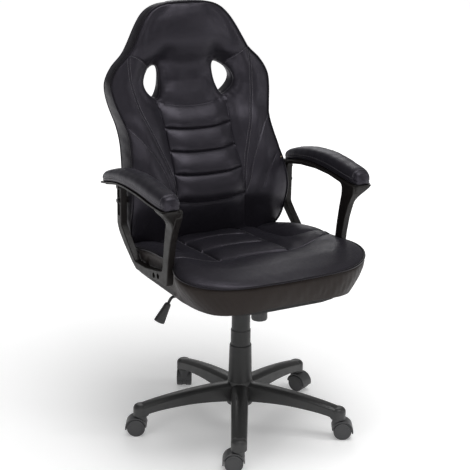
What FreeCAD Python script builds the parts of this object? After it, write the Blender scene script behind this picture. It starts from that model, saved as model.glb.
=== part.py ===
import FreeCAD, Part
import os, math
from FreeCAD import Vector as V

os.makedirs("parts", exist_ok=True)

# ---------------------------------------------------------------- dimensions
# millimetres; +Z up, the sitter faces -Y, +X is the sitter's left hand side;
# the origin is on the floor under the gas lift.
BASE_R = 285.0            # circle of the five caster stems
ARM_ANGLES = [-119.3, -47.3, 24.7, 96.7, 168.7]
TRAIL_ANGLES = [150.6, -29.4, -65.4, 60.6, 150.6]   # parked direction of each caster
HUB_TOP = 132.0
ARM_END_TOP = 91.0
ARM_END_BOTTOM = 58.0
SOCKET_R = 5.55
STEM_R = 5.5
WHEEL_R = 25.0
WHEEL_W = 17.0
WHEEL_IN = 5.0            # inner face of a wheel from the caster's middle
TRAIL = 13.0
AXLE_R = 3.0
TUBE_R = 24.4             # outer stand tube
TUBE_WALL = 1.6
PRESSURE_R = 14.0
ROD_R = 5.0
COVER_GAP_R = [(28.3, 30.3, 33.5), (26.3, 27.5), (24.7, 25.7)]
COVER_LOW_Z = (132.0, 237.0)
COVER_MID_Z = (222.0, 282.0)
COVER_TOP_Z = (267.0, 371.0)
PIVOT_Y, PIVOT_Z = -35.0, 404.0
KNOB_Y = -100.0
LEVER_Z = 411.5
SEAT_UNDER = 430.0
BOARD_T = 12.0
ARM_IN, ARM_OUT = 253.0, 272.0       # side frame of the armrest
PAD_X = 286.0
BACK_BOTTOM, BACK_TOP = 506.0, 1138.0


def save(name, shape):
    if shape.ShapeType == "Compound" and len(shape.Solids) == 1:
        shape = shape.Solids[0]
    shape.exportStep("parts/%s.step" % name)


def cyl(r, h, p=(0, 0, 0), d=(0, 0, 1)):
    return Part.makeCylinder(r, h, V(*p), V(*d))


def tube(ro, ri, z0, z1):
    return cyl(ro, z1 - z0, (0, 0, z0)).cut(cyl(ri, z1 - z0 + 2, (0, 0, z0 - 1)))


def box(x0, y0, z0, x1, y1, z1):
    return Part.makeBox(x1 - x0, y1 - y0, z1 - z0, V(x0, y0, z0))


def fuse(a, *rest):
    for b in rest:
        a = a.fuse(b)
    return a.removeSplitter()


def turned(shape, deg, centre=(0, 0, 0), axis=(0, 0, 1)):
    s = shape.copy()
    s.rotate(V(*centre), V(*axis), deg)
    return s


def moved(shape, x, y, z):
    s = shape.copy()
    s.translate(V(x, y, z))
    return s


def mirrored(shape):
    return shape.mirror(V(0, 0, 0), V(1, 0, 0))


def rounded_poly(pts, radii, place):
    """closed wire of straight runs with an arc at each corner; place maps (a, b) to 3-D"""
    n = len(pts)
    if not isinstance(radii, (list, tuple)):
        radii = [radii] * n
    cut = []
    for i in range(n):
        p0, p, p1 = pts[i - 1], pts[i], pts[(i + 1) % n]
        a = (p0[0] - p[0], p0[1] - p[1])
        b = (p1[0] - p[0], p1[1] - p[1])
        la, lb = math.hypot(*a), math.hypot(*b)
        a = (a[0] / la, a[1] / la)
        b = (b[0] / lb, b[1] / lb)
        dot = max(-1.0, min(1.0, a[0] * b[0] + a[1] * b[1]))
        ang = math.acos(dot)
        r = radii[i]
        t = r / math.tan(ang / 2)
        tmax = 0.49 * min(la, lb)
        if t > tmax:
            t = tmax
            r = t * math.tan(ang / 2)
        s = (p[0] + a[0] * t, p[1] + a[1] * t)
        e = (p[0] + b[0] * t, p[1] + b[1] * t)
        bis = (a[0] + b[0], a[1] + b[1])
        lbis = math.hypot(*bis)
        if ang > math.pi - 1e-3 or r < 0.05:
            cut.append((p, p, p))
            continue
        bis = (bis[0] / lbis, bis[1] / lbis)
        dist = r / math.sin(ang / 2)
        c = (p[0] + bis[0] * dist, p[1] + bis[1] * dist)
        m = (c[0] - bis[0] * r, c[1] - bis[1] * r)
        cut.append((s, m, e))
    edges = []
    for i in range(n):
        s, m, e = cut[i]
        if s != e:
            edges.append(Part.Arc(place(*s), place(*m), place(*e)).toShape())
        ns = cut[(i + 1) % n][0]
        if math.hypot(ns[0] - e[0], ns[1] - e[1]) > 1e-4:
            edges.append(Part.makeLine(place(*e), place(*ns)))
    return Part.Wire(edges)


def closed_spline(points):
    c = Part.BSplineCurve()
    c.interpolate(Points=[V(*p) for p in points], PeriodicFlag=True)
    return Part.Wire([c.toShape()])


def loft(wires, ruled=False):
    return Part.makeLoft(wires, True, ruled)


def interp(t, xs, ys):
    if t <= xs[0]:
        return ys[0]
    for i in range(1, len(xs)):
        if t <= xs[i]:
            f = (t - xs[i - 1]) / (xs[i] - xs[i - 1])
            return ys[i - 1] + f * (ys[i] - ys[i - 1])
    return ys[-1]


def smooth(t, xs, ys):
    """Catmull-Rom through a table"""
    if t <= xs[0]:
        return ys[0]
    if t >= xs[-1]:
        return ys[-1]
    for i in range(1, len(xs)):
        if t <= xs[i]:
            break
    x0, x1 = xs[i - 1], xs[i]
    y0, y1 = ys[i - 1], ys[i]
    h = x1 - x0
    m0 = (ys[i] - ys[i - 2]) / (xs[i] - xs[i - 2]) if i > 1 else (y1 - y0) / h
    m1 = (ys[i + 1] - ys[i - 1]) / (xs[i + 1] - xs[i - 1]) if i + 1 < len(xs) else (y1 - y0) / h
    s = (t - x0) / h
    return ((2 * s**3 - 3 * s**2 + 1) * y0 + (s**3 - 2 * s**2 + s) * h * m0
            + (-2 * s**3 + 3 * s**2) * y1 + (s**3 - s**2) * h * m1)


def try_fillet(shape, radius, edges):
    for r in (radius, radius * 0.7, radius * 0.45):
        try:
            f = shape.makeFillet(r, edges)
            if f.isValid() and f.Volume > 0.5 * shape.Volume:
                return f
        except Exception:
            pass
    print("fillet skipped")
    return shape


# ---------------------------------------------------------------- five-star base
def arm_section(r, half, ztop, zbot, skirt=3.0):
    """section of a base arm: crisp lower edges, drafted sides and a domed top"""
    zs = ztop - 0.42 * half
    ws = half * 0.93
    a = V(r, -half, zbot)
    b = V(r, -half, zbot + skirt)
    c = V(r, -ws, zs)
    f = V(r, ws, zs)
    e = V(r, half, zbot + skirt)
    g = V(r, half, zbot)
    top = Part.BSplineCurve()
    top.interpolate([c, V(r, -ws * 0.72, zs + 0.26 * half), V(r, 0, ztop), V(r, ws * 0.72, zs + 0.26 * half), f])
    return Part.Wire([Part.makeLine(a, b), Part.makeLine(b, c), top.toShape(), Part.makeLine(f, e), Part.makeLine(e, g), Part.makeLine(g, a)])


def inner_section(r, half, ztop, zbot):
    pts = [(r, -half, zbot), (r, -half * 0.92, ztop - 4), (r, -half * 0.6, ztop), (r, half * 0.6, ztop),
           (r, half * 0.92, ztop - 4), (r, half, zbot)]
    return Part.makePolygon([V(*p) for p in pts] + [V(*pts[0])])


ARM_R = [18, 60, 110, 165, 220, 262, 283]
ARM_HALF = [24.5, 24.2, 23.6, 22.8, 22.0, 21.6, 21.5]
ARM_TOPZ = [128.0, 126.0, 121.8, 115.0, 105.8, 97.0, 91.5]
ARM_BOTZ = [76.0, 79.0, 81.5, 80.5, 75.5, 68.5, 62.0]


def base_arm():
    outer = loft([arm_section(r, h, t, b) for r, h, t, b in zip(ARM_R, ARM_HALF, ARM_TOPZ, ARM_BOTZ)])
    cap = cyl(21.5, ARM_END_TOP - ARM_END_BOTTOM, (BASE_R, 0, ARM_END_BOTTOM))
    top = [e for e in cap.Edges if abs(e.BoundBox.ZMin - ARM_END_TOP) < 0.01 and abs(e.BoundBox.ZMax - ARM_END_TOP) < 0.01]
    cap = try_fillet(cap, 13.0, top)
    low = [e for e in cap.Edges if abs(e.BoundBox.ZMin - ARM_END_BOTTOM) < 0.01 and abs(e.BoundBox.ZMax - ARM_END_BOTTOM) < 0.01]
    cap = try_fillet(cap, 1.5, low)
    shell = outer.fuse(cap)
    rs = [52, 110, 165, 220, 250]
    cav = loft([inner_section(r, interp(r, ARM_R, ARM_HALF) - 4.0, interp(r, ARM_R, ARM_TOPZ) - 6.0,
                              interp(r, ARM_R, ARM_BOTZ) - 3.0) for r in rs], True)
    ribs = [box(40, -1.5, 60, 260, 1.5, 140)]
    for r in (85, 120, 155, 190, 222):
        ribs.append(box(r - 1.2, -30, 60, r + 1.2, 30, 140))
    allribs = ribs[0]
    for b in ribs[1:]:
        allribs = allribs.fuse(b)
    lower = box(40, -30, 60, 260, 30, 140)
    cav = cav.cut(allribs)
    shell = shell.cut(cav)
    return shell


def build_base():
    arm = base_arm()
    prof = [(0, 0), (33, 0), (36, 2), (38.5, 14), (38.5, 38), (36.5, 62), (34.6, 71), (33.5, 72), (0, 72)]
    z0 = HUB_TOP - 72.0
    hub = Part.Face(Part.makePolygon([V(r, 0, z0 + z) for r, z in prof] + [V(0, 0, z0)])).revolve(V(0, 0, 0), V(0, 0, 1), 360)
    body = hub
    for a in ARM_ANGLES:
        body = body.fuse(turned(arm, a))
    # bore for the gas lift, a close seat on the stand tube
    body = body.cut(cyl(TUBE_R, 90, (0, 0, 50)))
    for a in ARM_ANGLES:
        c, s = math.cos(math.radians(a)), math.sin(math.radians(a))
        body = body.cut(cyl(SOCKET_R, 24.5, (BASE_R * c, BASE_R * s, ARM_END_BOTTOM - 1)))
    return body


base = build_base()
save("five_star_base", base)

# ---------------------------------------------------------------- casters
# local frame: stem on Z at the origin, trailing towards +X, axle along Y
def build_caster():
    stem = cyl(STEM_R, 80.5 - 50.8, (0, 0, 50.8)).fuse(cyl(4.0, 51.0 - 38.0, (0, 0, 38.0)))
    stem = stem.fuse(Part.makeTorus(4.9, 0.6, V(0, 0, 76.5), V(0, 0, 1)))
    stem = stem.fuse(cyl(9.0, 1.4, (0, 0, 56.0)))
    # hood: neck block, mudguard shell over both wheels, middle web
    neck = cyl(15.5, 55.9 - 27.0, (0, 0, 27.0))
    neck = neck.cut(box(-30, -30, 20, 30, 30, 27))
    hood_w = 20.0
    shell = cyl(30.0, 2 * hood_w, (TRAIL, -hood_w, WHEEL_R), (0, 1, 0))
    shell = shell.common(Part.Face(Part.makePolygon([V(TRAIL, -hood_w - 1, WHEEL_R - 2), V(TRAIL + 60, -hood_w - 1, WHEEL_R - 9),
                         V(TRAIL + 60, -hood_w - 1, 90), V(-16, -hood_w - 1, 90), V(-16, -hood_w - 1, WHEEL_R + 4),
                         V(TRAIL - 20, -hood_w - 1, WHEEL_R - 4), V(TRAIL, -hood_w - 1, WHEEL_R - 2)])).extrude(V(0, 2 * hood_w + 2, 0)))
    body = neck.fuse(shell)
    room = cyl(26.6, 2 * 24, (TRAIL, -24, WHEEL_R), (0, 1, 0))
    body = body.cut(room)
    web = cyl(23.5, 2 * (WHEEL_IN - 0.6), (TRAIL, -(WHEEL_IN - 0.6), WHEEL_R), (0, 1, 0))
    link = box(-13, -(WHEEL_IN - 0.6), WHEEL_R + 2, TRAIL + 14, WHEEL_IN - 0.6, 50)
    body = body.fuse(web).fuse(link.common(cyl(29.0, 60, (TRAIL, -30, WHEEL_R), (0, 1, 0))))
    body = body.cut(box(-40, -40, -5, 60, 40, 3.5))
    body = body.cut(cyl(STEM_R, 60, (0, 0, 50.8))).cut(cyl(4.0, 60, (0, 0, 38.0)))
    body = body.cut(cyl(AXLE_R, 80, (TRAIL, -40, WHEEL_R), (0, 1, 0)))
    body = body.removeSplitter()
    if len(body.Solids) > 1:
        body = max(body.Solids, key=lambda s: s.Volume)
    axle = cyl(AXLE_R, 2 * 19.5, (TRAIL, -19.5, WHEEL_R), (0, 1, 0))
    # one wheel: tread band, recessed face with a raised hub cap
    w = cyl(WHEEL_R, WHEEL_W, (TRAIL, WHEEL_IN, WHEEL_R), (0, 1, 0))
    outer_y = WHEEL_IN + WHEEL_W
    oe = [e for e in w.Edges if abs(e.BoundBox.YMin - outer_y) < 0.01 and abs(e.BoundBox.YMax - outer_y) < 0.01]
    w = try_fillet(w, 3.6, oe)
    ie = [e for e in w.Edges if abs(e.BoundBox.YMin - WHEEL_IN) < 0.01 and abs(e.BoundBox.YMax - WHEEL_IN) < 0.01]
    w = try_fillet(w, 1.2, ie)
    ring = cyl(19.6, 3, (TRAIL, outer_y - 0.8, WHEEL_R), (0, 1, 0)).cut(cyl(18.4, 5, (TRAIL, outer_y - 2, WHEEL_R), (0, 1, 0)))
    w = w.cut(ring)
    pocket = cyl(20.0, 4.0, (TRAIL, WHEEL_IN - 1, WHEEL_R), (0, 1, 0)).cut(cyl(6.5, 6.0, (TRAIL, WHEEL_IN - 2, WHEEL_R), (0, 1, 0)))
    w = w.cut(pocket)
    w = w.cut(cyl(AXLE_R + 0.06, 15.5, (TRAIL, WHEEL_IN - 1, WHEEL_R), (0, 1, 0)))
    wa = w
    wb = w.mirror(V(0, 0, 0), V(0, 1, 0))
    return stem, body, axle, wa, wb


caster = build_caster()
for i, (a, t) in enumerate(zip(ARM_ANGLES, TRAIL_ANGLES), 1):
    c, s = math.cos(math.radians(a)), math.sin(math.radians(a))
    for nm, sh in zip(("stem", "hood", "axle", "wheel_a", "wheel_b"), caster):
        q = turned(sh, t)
        q.translate(V(BASE_R * c, BASE_R * s, 0))
        save("caster_%d_%s" % (i, nm), q)

# ---------------------------------------------------------------- gas lift
stand = tube(TUBE_R, TUBE_R - TUBE_WALL, 52.0, 240.0)
floor_plate = cyl(TUBE_R - TUBE_WALL, 3.0, (0, 0, 55.0)).cut(cyl(9.0, 10, (0, 0, 50)))
stand = stand.fuse(floor_plate)
save("gas_stand_tube", stand)
save("stand_tube_bushing", tube(TUBE_R - TUBE_WALL, PRESSURE_R + 0.05, 172.0, 238.5))
bearing = tube(15.0, ROD_R + 0.06, 58.0, 66.0)
bearing = bearing.cut(tube(15.5, 13.0, 61.2, 62.8))
save("thrust_bearing", bearing)
rod = cyl(ROD_R, 205.0 - 51.0, (0, 0, 51.0))
rod = rod.cut(tube(8.0, 4.0, 53.3, 54.4))
rod = rod.fuse(cyl(11.6, 14.0, (0, 0, 190.5)))
rod = rod.fuse(cyl(8.0, 1.2, (0, 0, 66.3)))
save("piston_rod", rod)
clip = tube(8.6, 4.0, 53.4, 54.3)
clip = clip.cut(box(-1.4, 0, 50, 1.4, 12, 60))
save("rod_clip", clip)

pt = cyl(PRESSURE_R, 406.0 - 166.0, (0, 0, 166.0))
pt = pt.cut(cyl(11.8, 380.0 - 177.0, (0, 0, 177.0)))
pt = pt.cut(cyl(ROD_R + 0.06, 20.0, (0, 0, 160.0)))
pt = pt.cut(cyl(4.06, 40.0, (0, 0, 379.0)))
save("pressure_tube", pt)
save("valve_pin", cyl(4.0, 410.6 - 384.0, (0, 0, 384.0)))

ri, ro, rfoot = COVER_GAP_R[0]
lowp = [(ri, 237.0), (ro, 237.0), (ro + 0.4, 233.0), (rfoot - 0.6, 140.0), (rfoot, 132.0), (TUBE_R + 0.1, 132.0), (TUBE_R + 0.1, 134.0), (rfoot - 3.2, 136.0), (ri + 0.3, 220.0)]
cover_low = Part.Face(Part.makePolygon([V(r, 0, z) for r, z in lowp] + [V(lowp[0][0], 0, lowp[0][1])])).revolve(V(0, 0, 0), V(0, 0, 1), 360)
save("column_cover_lower", cover_low)
ri, ro = COVER_GAP_R[1]
midp = [(ri, 282.0), (ro - 0.4, 282.0), (ro, 281.2), (ro + 0.3, 223.0), (ro + 0.3, 222.0), (ri + 0.2, 222.0)]
cover_mid = Part.Face(Part.makePolygon([V(r, 0, z) for r, z in midp] + [V(midp[0][0], 0, midp[0][1])])).revolve(V(0, 0, 0), V(0, 0, 1), 360)
save("column_cover_mid", cover_mid)
ri, ro = COVER_GAP_R[2]
topc = tube(ro, ri, 267.0, 371.0).fuse(tube(ri, PRESSURE_R, 369.0, 371.0))
save("column_cover_upper", topc)

# ---------------------------------------------------------------- tilt mechanism
# lower tray carries the taper cup, the tilt pivot and the lift lever
def side_profile(x0, x1):
    pts = [(-78, 376), (-78, 408), (-50, 417), (-22, 417), (20, 411), (78, 396), (78, 376)]
    w = Part.makePolygon([V(x0, y, z) for y, z in pts] + [V(x0, pts[0][0], pts[0][1])])
    return Part.Face(w).extrude(V(x1 - x0, 0, 0))


tray = box(-46, -78, 376, 46, 78, 378.5)
tray = tray.fuse(side_profile(-48.5, -46)).fuse(side_profile(46, 48.5))
tray = tray.fuse(box(-48.5, -80.5, 376, 48.5, -78, 408)).fuse(box(-48.5, 78, 376, 48.5, 80.5, 396))
shelf = box(-32, -128, 405.5, 32, -78, 408)
shelf = shelf.fuse(box(-34.5, -128, 398, -32, -78, 408)).fuse(box(32, -128, 398, 34.5, -78, 408))
tray = tray.fuse(shelf)
tray = tray.cut(box(-7.5, KNOB_Y - 9, 390, 7.5, KNOB_Y + 12, 420))
cup = cyl(21.0, 400.0 - 371.5, (0, 0, 371.5))
tray = tray.fuse(cup)
tray = tray.cut(cyl(PRESSURE_R, 60, (0, 0, 365.0)))
tray = tray.cut(cyl(5.0, 120, (-60, PIVOT_Y, PIVOT_Z), (1, 0, 0)))
# slot for the lever in the left wall, and bearing slots of the rocker
tray = tray.cut(box(-60, -8.5, LEVER_Z - 8.5, -40, 8.5, 440))
save("mechanism_housing", tray.removeSplitter())
save("tilt_pivot_pin", fuse(cyl(5.0, 108.0, (-54, PIVOT_Y, PIVOT_Z), (1, 0, 0)), cyl(7.0, 2.0, (-56, PIVOT_Y, PIVOT_Z), (1, 0, 0)), cyl(7.0, 2.0, (54, PIVOT_Y, PIVOT_Z), (1, 0, 0))))
plate = box(-75, -135, 427, 75, 105, 430)
plate = try_fillet(plate, 8.0, [e for e in plate.Edges if abs(e.BoundBox.ZLength - 3.0) < 0.01])
for x in (-52.5, 49.5):
    ear = Part.Face(Part.makePolygon([V(x, -62, 428), V(x, PIVOT_Y - 12, 396), V(x, PIVOT_Y + 10, 396), V(x, -7, 428), V(x, -62, 428)])).extrude(V(3, 0, 0))
    plate = plate.fuse(ear)
plate = plate.cut(cyl(5.06, 140, (-70, PIVOT_Y, PIVOT_Z), (1, 0, 0)))
BOLT_XY = [(-60, -120), (60, -120), (-60, 90), (60, 90)]
for x, y in BOLT_XY:
    plate = plate.cut(cyl(3.3, 10, (x, y, 424)))
plate = plate.cut(cyl(4.0, 10, (0, KNOB_Y, 424)))
save("seat_plate", plate.removeSplitter())
tb = cyl(4.0, 430.0 - 353.5, (0, KNOB_Y, 353.5))
save("tension_bolt", tb)
save("spring_washer", moved(tube(16.0, 4.06, 376.2, 378.0), 0, KNOB_Y, 0))
# compression spring, four turns, swept in quarter turns
SPRING_R, WIRE_R, SPRING_Z0, SPRING_Z1, TURNS = 12.5, 1.6, 379.8, 403.7, 4


def spring_ring(k, per):
    a = 2 * math.pi * k / per
    z = SPRING_Z0 + (SPRING_Z1 - SPRING_Z0) * k / (per * TURNS)
    rise = (SPRING_Z1 - SPRING_Z0) / TURNS / (2 * math.pi)
    l = math.hypot(SPRING_R, rise)
    tx, ty, tz = -math.sin(a) * SPRING_R / l, math.cos(a) * SPRING_R / l, rise / l
    return Part.Wire([Part.makeCircle(WIRE_R, V(SPRING_R * math.cos(a), KNOB_Y + SPRING_R * math.sin(a), z), V(tx, ty, tz))])


spring = None
for k in range(4 * TURNS):
    piece = loft([spring_ring(k * 6 + j, 24) for j in range(7)])
    spring = piece if spring is None else spring.fuse(piece)
spring = spring.Solids[0] if len(spring.Solids) == 1 else spring
print("spring", spring.isValid(), len(spring.Solids), spring.Volume, math.pi * WIRE_R**2 * math.hypot(2 * math.pi * SPRING_R * TURNS, SPRING_Z1 - SPRING_Z0))
save("tilt_spring", spring)
kprof = [(0, 345), (17, 345), (20.5, 346.5), (22, 350), (21.6, 366), (20.5, 371), (15, 374.5), (0, 374.5)]
knob = Part.Face(Part.makePolygon([V(r, 0, z) for r, z in kprof] + [V(0, 0, 345)])).revolve(V(0, 0, 0), V(0, 0, 1), 360)
for k in range(10):
    a = math.radians(36 * k)
    knob = knob.cut(cyl(3.0, 40, (24.2 * math.cos(a), 24.2 * math.sin(a), 340)))
knob = knob.cut(cyl(4.06, 28.0, (0, 0, 348.0)))
save("tension_knob", moved(knob, 0, KNOB_Y, 0))

rocker = box(-56, -7.5, LEVER_Z - 7.0, -20, 7.5, LEVER_Z + 6.5)
rocker = rocker.fuse(box(-22, -6, LEVER_Z - 0.5, 8, 6, LEVER_Z + 5.5))
rocker = rocker.fuse(cyl(3.0, 16.8, (-47.0, -8.4, LEVER_Z), (0, 1, 0)))      # trunnions in the wall's slot
rocker = rocker.cut(cyl(4.05, 70, (-90, 0, LEVER_Z), (1, 0, 0)))
for y in (-8.5, 4.5):                                             # clear of the plate's ear when the seat tilts
    rocker = rocker.cut(box(-57, y, LEVER_Z + 3.0, -45, y + 4.0, LEVER_Z + 7.5))
rocker = rocker.cut(box(-22, -7, LEVER_Z - 6, 9, 7, LEVER_Z - 0.5))
save("valve_rocker", rocker.removeSplitter())

# lever rod: straight run out to the side, elbow, short leg down into the grip
leg = V(-0.5, 0, -0.866)
R_EL = 14.0
ang = math.radians(60)
xe = -205.0
rod_l = cyl(4.0, 205.0 - 34.0, (xe, 0, LEVER_Z), (1, 0, 0))
cen = V(xe, 0, LEVER_Z - R_EL)
p1 = V(xe, 0, LEVER_Z)
p2 = V(xe - R_EL * math.sin(ang), 0, LEVER_Z - R_EL + R_EL * math.cos(ang))
pm = V(xe - R_EL * math.sin(ang / 2), 0, LEVER_Z - R_EL + R_EL * math.cos(ang / 2))
p3 = p2.add(V(-math.cos(ang), 0, -math.sin(ang)).multiply(34.0))
path = Part.Wire([Part.Arc(p1, pm, p2).toShape(), Part.makeLine(p2, p3)])
elbow = path.makePipeShell([Part.Wire([Part.makeCircle(4.0, p1, V(1, 0, 0))])], True, True)
rod_l = rod_l.fuse(elbow)
save("lever_rod", rod_l.removeSplitter())
ldir = V(-math.cos(ang), 0, -math.sin(ang))
start = p2.add(V(ldir).multiply(10.0))
side = V(math.sin(ang), 0, -math.cos(ang))


def grip_section(d, a, b):
    o = start.add(V(ldir).multiply(d))
    pts = []
    for k in range(12):
        t = 2 * math.pi * k / 12
        q = o.add(V(side).multiply(a * math.cos(t))).add(V(0, b * math.sin(t), 0))
        pts.append((q.x, q.y, q.z))
    return closed_spline(pts)


grip = loft([grip_section(*s) for s in [(0, 7.0, 6.5), (6, 8.6, 8.0), (18, 10.2, 9.2), (32, 12.4, 9.6), (46, 14.8, 9.6), (54, 15.6, 9.4), (58, 14.6, 8.2)]])
grip = grip.cut(elbow).cut(Part.makeCylinder(4.0, 40, start, ldir).common(Part.makeCylinder(4.0, (p3.sub(start)).Length, start, ldir)))
save("lever_grip", grip)

# ---------------------------------------------------------------- seat
# plan outline of the seat piping: half width and height along y
SEAT_Y = [-283, -279, -268, -248, -220, -190, -165, -140, -118, -98, -60, 0, 60, 120, 170, 205, 228, 241, 246]
SEAT_X = [90, 128, 172, 211, 246, 267, 274, 272, 263, 251, 248.4, 248.4, 248.6, 248.4, 246, 236, 215, 180, 140]
SEAT_ZP = [517, 516, 515, 515, 517, 522, 526.5, 530.5, 533.5, 535.5, 536.5, 533.5, 527, 517, 506, 499, 495, 493, 492]
BOT_Y = [-274, -272, -264, -249, -225, -196, -172, -146, -122, -102, -62, 0, 60, 118, 166, 198, 219, 231, 237]
BOT_X = [80, 112, 148, 180, 205, 220, 227, 231, 233, 234, 234, 234, 234, 234, 232, 222, 202, 168, 128]


# height of the top over the piping at shares of the half width: a waterfall front,
# a sunk middle and raised side bolsters
TOP_T = [0.0, 0.42, 0.58, 0.72, 0.86, 0.95]
TOP_H = [[0, 1, 4, 8, 11, 11, 8, 2, -6, -13, -20, -21, -20, -14, -5, 0, 0, 0, 0],
         [0, 1, 4, 8, 11, 11, 8, 2, -6, -13, -20, -21, -20, -14, -5, 0, 0, 0, 0],
         [0, 1, 4, 8, 11, 11, 9, 5, -1, -7, -13, -15, -14, -9, -2, 1, 1, 0, 0],
         [0, 1, 4, 8, 10.5, 11, 10, 8, 5, 2, -2, -3, -3, -1, 1, 2, 1, 0.5, 0],
         [0, 1, 3.5, 6.5, 8.5, 9, 9, 8.5, 8, 7.5, 7, 7, 7, 6, 5, 3, 1.5, 0.5, 0],
         [0, 0.5, 2.5, 4, 5, 5, 5, 5, 5, 5, 5, 5, 5, 4.5, 3.5, 2, 1, 0.5, 0]]


def seat_section(i):
    y, x, zp = SEAT_Y[i], SEAT_X[i], SEAT_ZP[i]
    xb = BOT_X[i]
    n = len(SEAT_Y) - 1
    endf = min(1.0, min(i, n - i) / 4.0)
    zb = SEAT_UNDER + 5.0 + (1 - endf) * 20.0
    half = [(t * x, zp + h[i]) for t, h in zip(TOP_T, TOP_H)]
    half += [(x, zp), (x + 1.0 * endf, zp - 14 * (0.5 + 0.5 * endf)), (0.5 * (x + xb) + 6, 0.5 * (zp + zb) - 10), (xb + 2, zb + 6), (xb - 10, zb), (0.6 * xb, zb), (0, zb)]
    pts = [(a, y, b) for a, b in half] + [(-a, y, b) for a, b in half[1:-1][::-1]]
    return closed_spline(pts)


seat = loft([seat_section(i) for i in range(len(SEAT_Y))])
print("seat valid", seat.isValid(), seat.Volume / 1e6)
board_pts = []
for i in range(1, len(BOT_Y) - 1):
    board_pts.append((BOT_X[i] - 16, BOT_Y[i] + (18 if i < 5 else -12 if i > 14 else 0)))
half_wire = board_pts + [(-a, b) for a, b in board_pts[::-1]]
board = Part.Face(rounded_poly(half_wire, 30.0, lambda a, b: V(a, b, SEAT_UNDER))).extrude(V(0, 0, BOARD_T))
# the ply pan is let into the underside of the foam
seat = seat.cut(Part.Face(rounded_poly(half_wire, 30.0, lambda a, b: V(a, b, SEAT_UNDER - 20))).extrude(V(0, 0, BOARD_T + 20)))
SEAT_BOLTS = [(-15.0, 487.0), (-40.0, 492.0)]
cheeks = []
for s in (1, -1):
    xs = sorted((s * 205.0, s * 238.0))
    cheeks.append(box(xs[0], -70, SEAT_UNDER + BOARD_T, xs[1], 90, 506))
for c in cheeks:
    board = board.fuse(c)
    seat = seat.cut(c)
seat_nuts = []
arm_seat_bolts = []
for s in (1, -1):
    for y, z in SEAT_BOLTS:
        d = (-s, 0, 0)
        board = board.cut(cyl(5.0, 30, (s * 239, y, z), d))
        seat = seat.cut(cyl(5.0, 14, (s * 252, y, z), d))
        n_ = cyl(5.0, 22, (s * 237, y, z), d).cut(cyl(3.3, 40, (s * 240, y, z), d))
        seat_nuts.append(n_)
        b_ = cyl(3.3, 262 - 218, (s * 262, y, z), d).fuse(cyl(6.5, 4.5, (s * 266.5, y, z), d))
        hexs = Part.Face(Part.makePolygon([V(s * 268, y + 2.9 * math.cos(math.radians(60 * k)), z + 2.9 * math.sin(math.radians(60 * k))) for k in range(7)])).extrude(V(-s * 4.0, 0, 0))
        arm_seat_bolts.append(b_.cut(hexs))
for x, y in BOLT_XY:
    board = board.cut(cyl(4.6, 20, (x, y, 428)))
    nut = cyl(4.6, 9.5, (x, y, SEAT_UNDER)).cut(cyl(3.3, 20, (x, y, 425)))
    seat_nuts.append(nut)
save("seat_board", board.removeSplitter())
save("seat_tee_nuts", Part.makeCompound(seat_nuts))
plate_bolts = []
for x, y in BOLT_XY:
    b_ = cyl(3.3, 439.0 - 426.9, (x, y, 426.9)).fuse(cyl(6.4, 4.4, (x, y, 422.6)))
    plate_bolts.append(b_)
save("plate_bolts", Part.makeCompound(plate_bolts))
save("arm_seat_bolts", Part.makeCompound(arm_seat_bolts))
save("seat_cushion", seat)

# ---------------------------------------------------------------- backrest
BZ = [506, 530, 570, 610, 650, 690, 730, 770, 810, 850, 890, 930, 970, 1000, 1030, 1060, 1090, 1110, 1124, 1133, 1137.5]
BX = [226, 238, 242.5, 244, 242, 236.5, 229.5, 223.5, 221.5, 232, 242.5, 244.7, 223, 191, 170, 154, 136, 119.5, 101, 78, 50]
BF = [207, 199.7, 187.5, 174.5, 174.5, 185, 203, 226, 248.5, 274, 293, 308.4, 318, 318.5, 320.6, 327, 335, 340.5, 343.5, 346, 349]
BS = [62, 70, 72, 79, 83, 83, 85, 85, 92, 82, 68, 53, 46, 50, 54, 51, 47, 44, 40, 35, 28]
BC = [-2, -4, -4, -2, 1, 4, 10, 12, 9, 10, 16, 22, 16, 4, -8, -14, -14, -12, -8, -5, -1]
BV = [0, 0, 3, 8, 10, 13, 21, 22, 19, 21, 28, 36, 34, 12, -4, -10, -11, -9, -6, -4, -1]


def bx(z): return smooth(z, BZ, BX)
def bf(z): return smooth(z, BZ, BF)
def bb(z): return smooth(z, BZ, BF) + smooth(z, BZ, BS)


def back_section(i):
    z, X, yf, s, dc, dv = BZ[i], BX[i], BF[i], BS[i], BC[i], BV[i]
    k = X / 244.0
    cr = -9.0 * min(1.0, k * 1.1) if z < 1000 else -3.0
    yb = yf + s
    half = [(0, yf + dc), (0.25 * X, yf + dc + 1), (0.44 * X, yf + dv), (0.6 * X, yf + 0.4 * dv + 0.5 * cr), (0.78 * X, yf + cr), (0.93 * X, yf - 3.5), (X, yf + 4),
            (X + 1.0, yf + 0.5 * s), (X - 3, yb - 8), (0.93 * X, yb - 1), (0.6 * X, yb + 3), (0.3 * X, yb + 4.5), (0, yb + 5)]
    pts = [(a, b, z) for a, b in half] + [(-a, b, z) for a, b in half[1:-1][::-1]]
    return closed_spline(pts)


back = loft([back_section(i) for i in range(len(BZ))])
print("back valid", back.isValid(), back.Volume / 1e6)


def front_outline(inset, z0, z1, step=30.0):
    zs = []
    z = z0
    while z < z1 - 1e-6:
        zs.append(z)
        z += step
    zs.append(z1)
    right = [(bx(z) - inset, z) for z in zs]
    pts = right + [(-a, b) for a, b in right[::-1]]
    w = Part.makePolygon([V(a, 0, b) for a, b in pts] + [V(pts[0][0], 0, pts[0][1])])
    return Part.Face(w).extrude(V(0, 600, 0))


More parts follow.
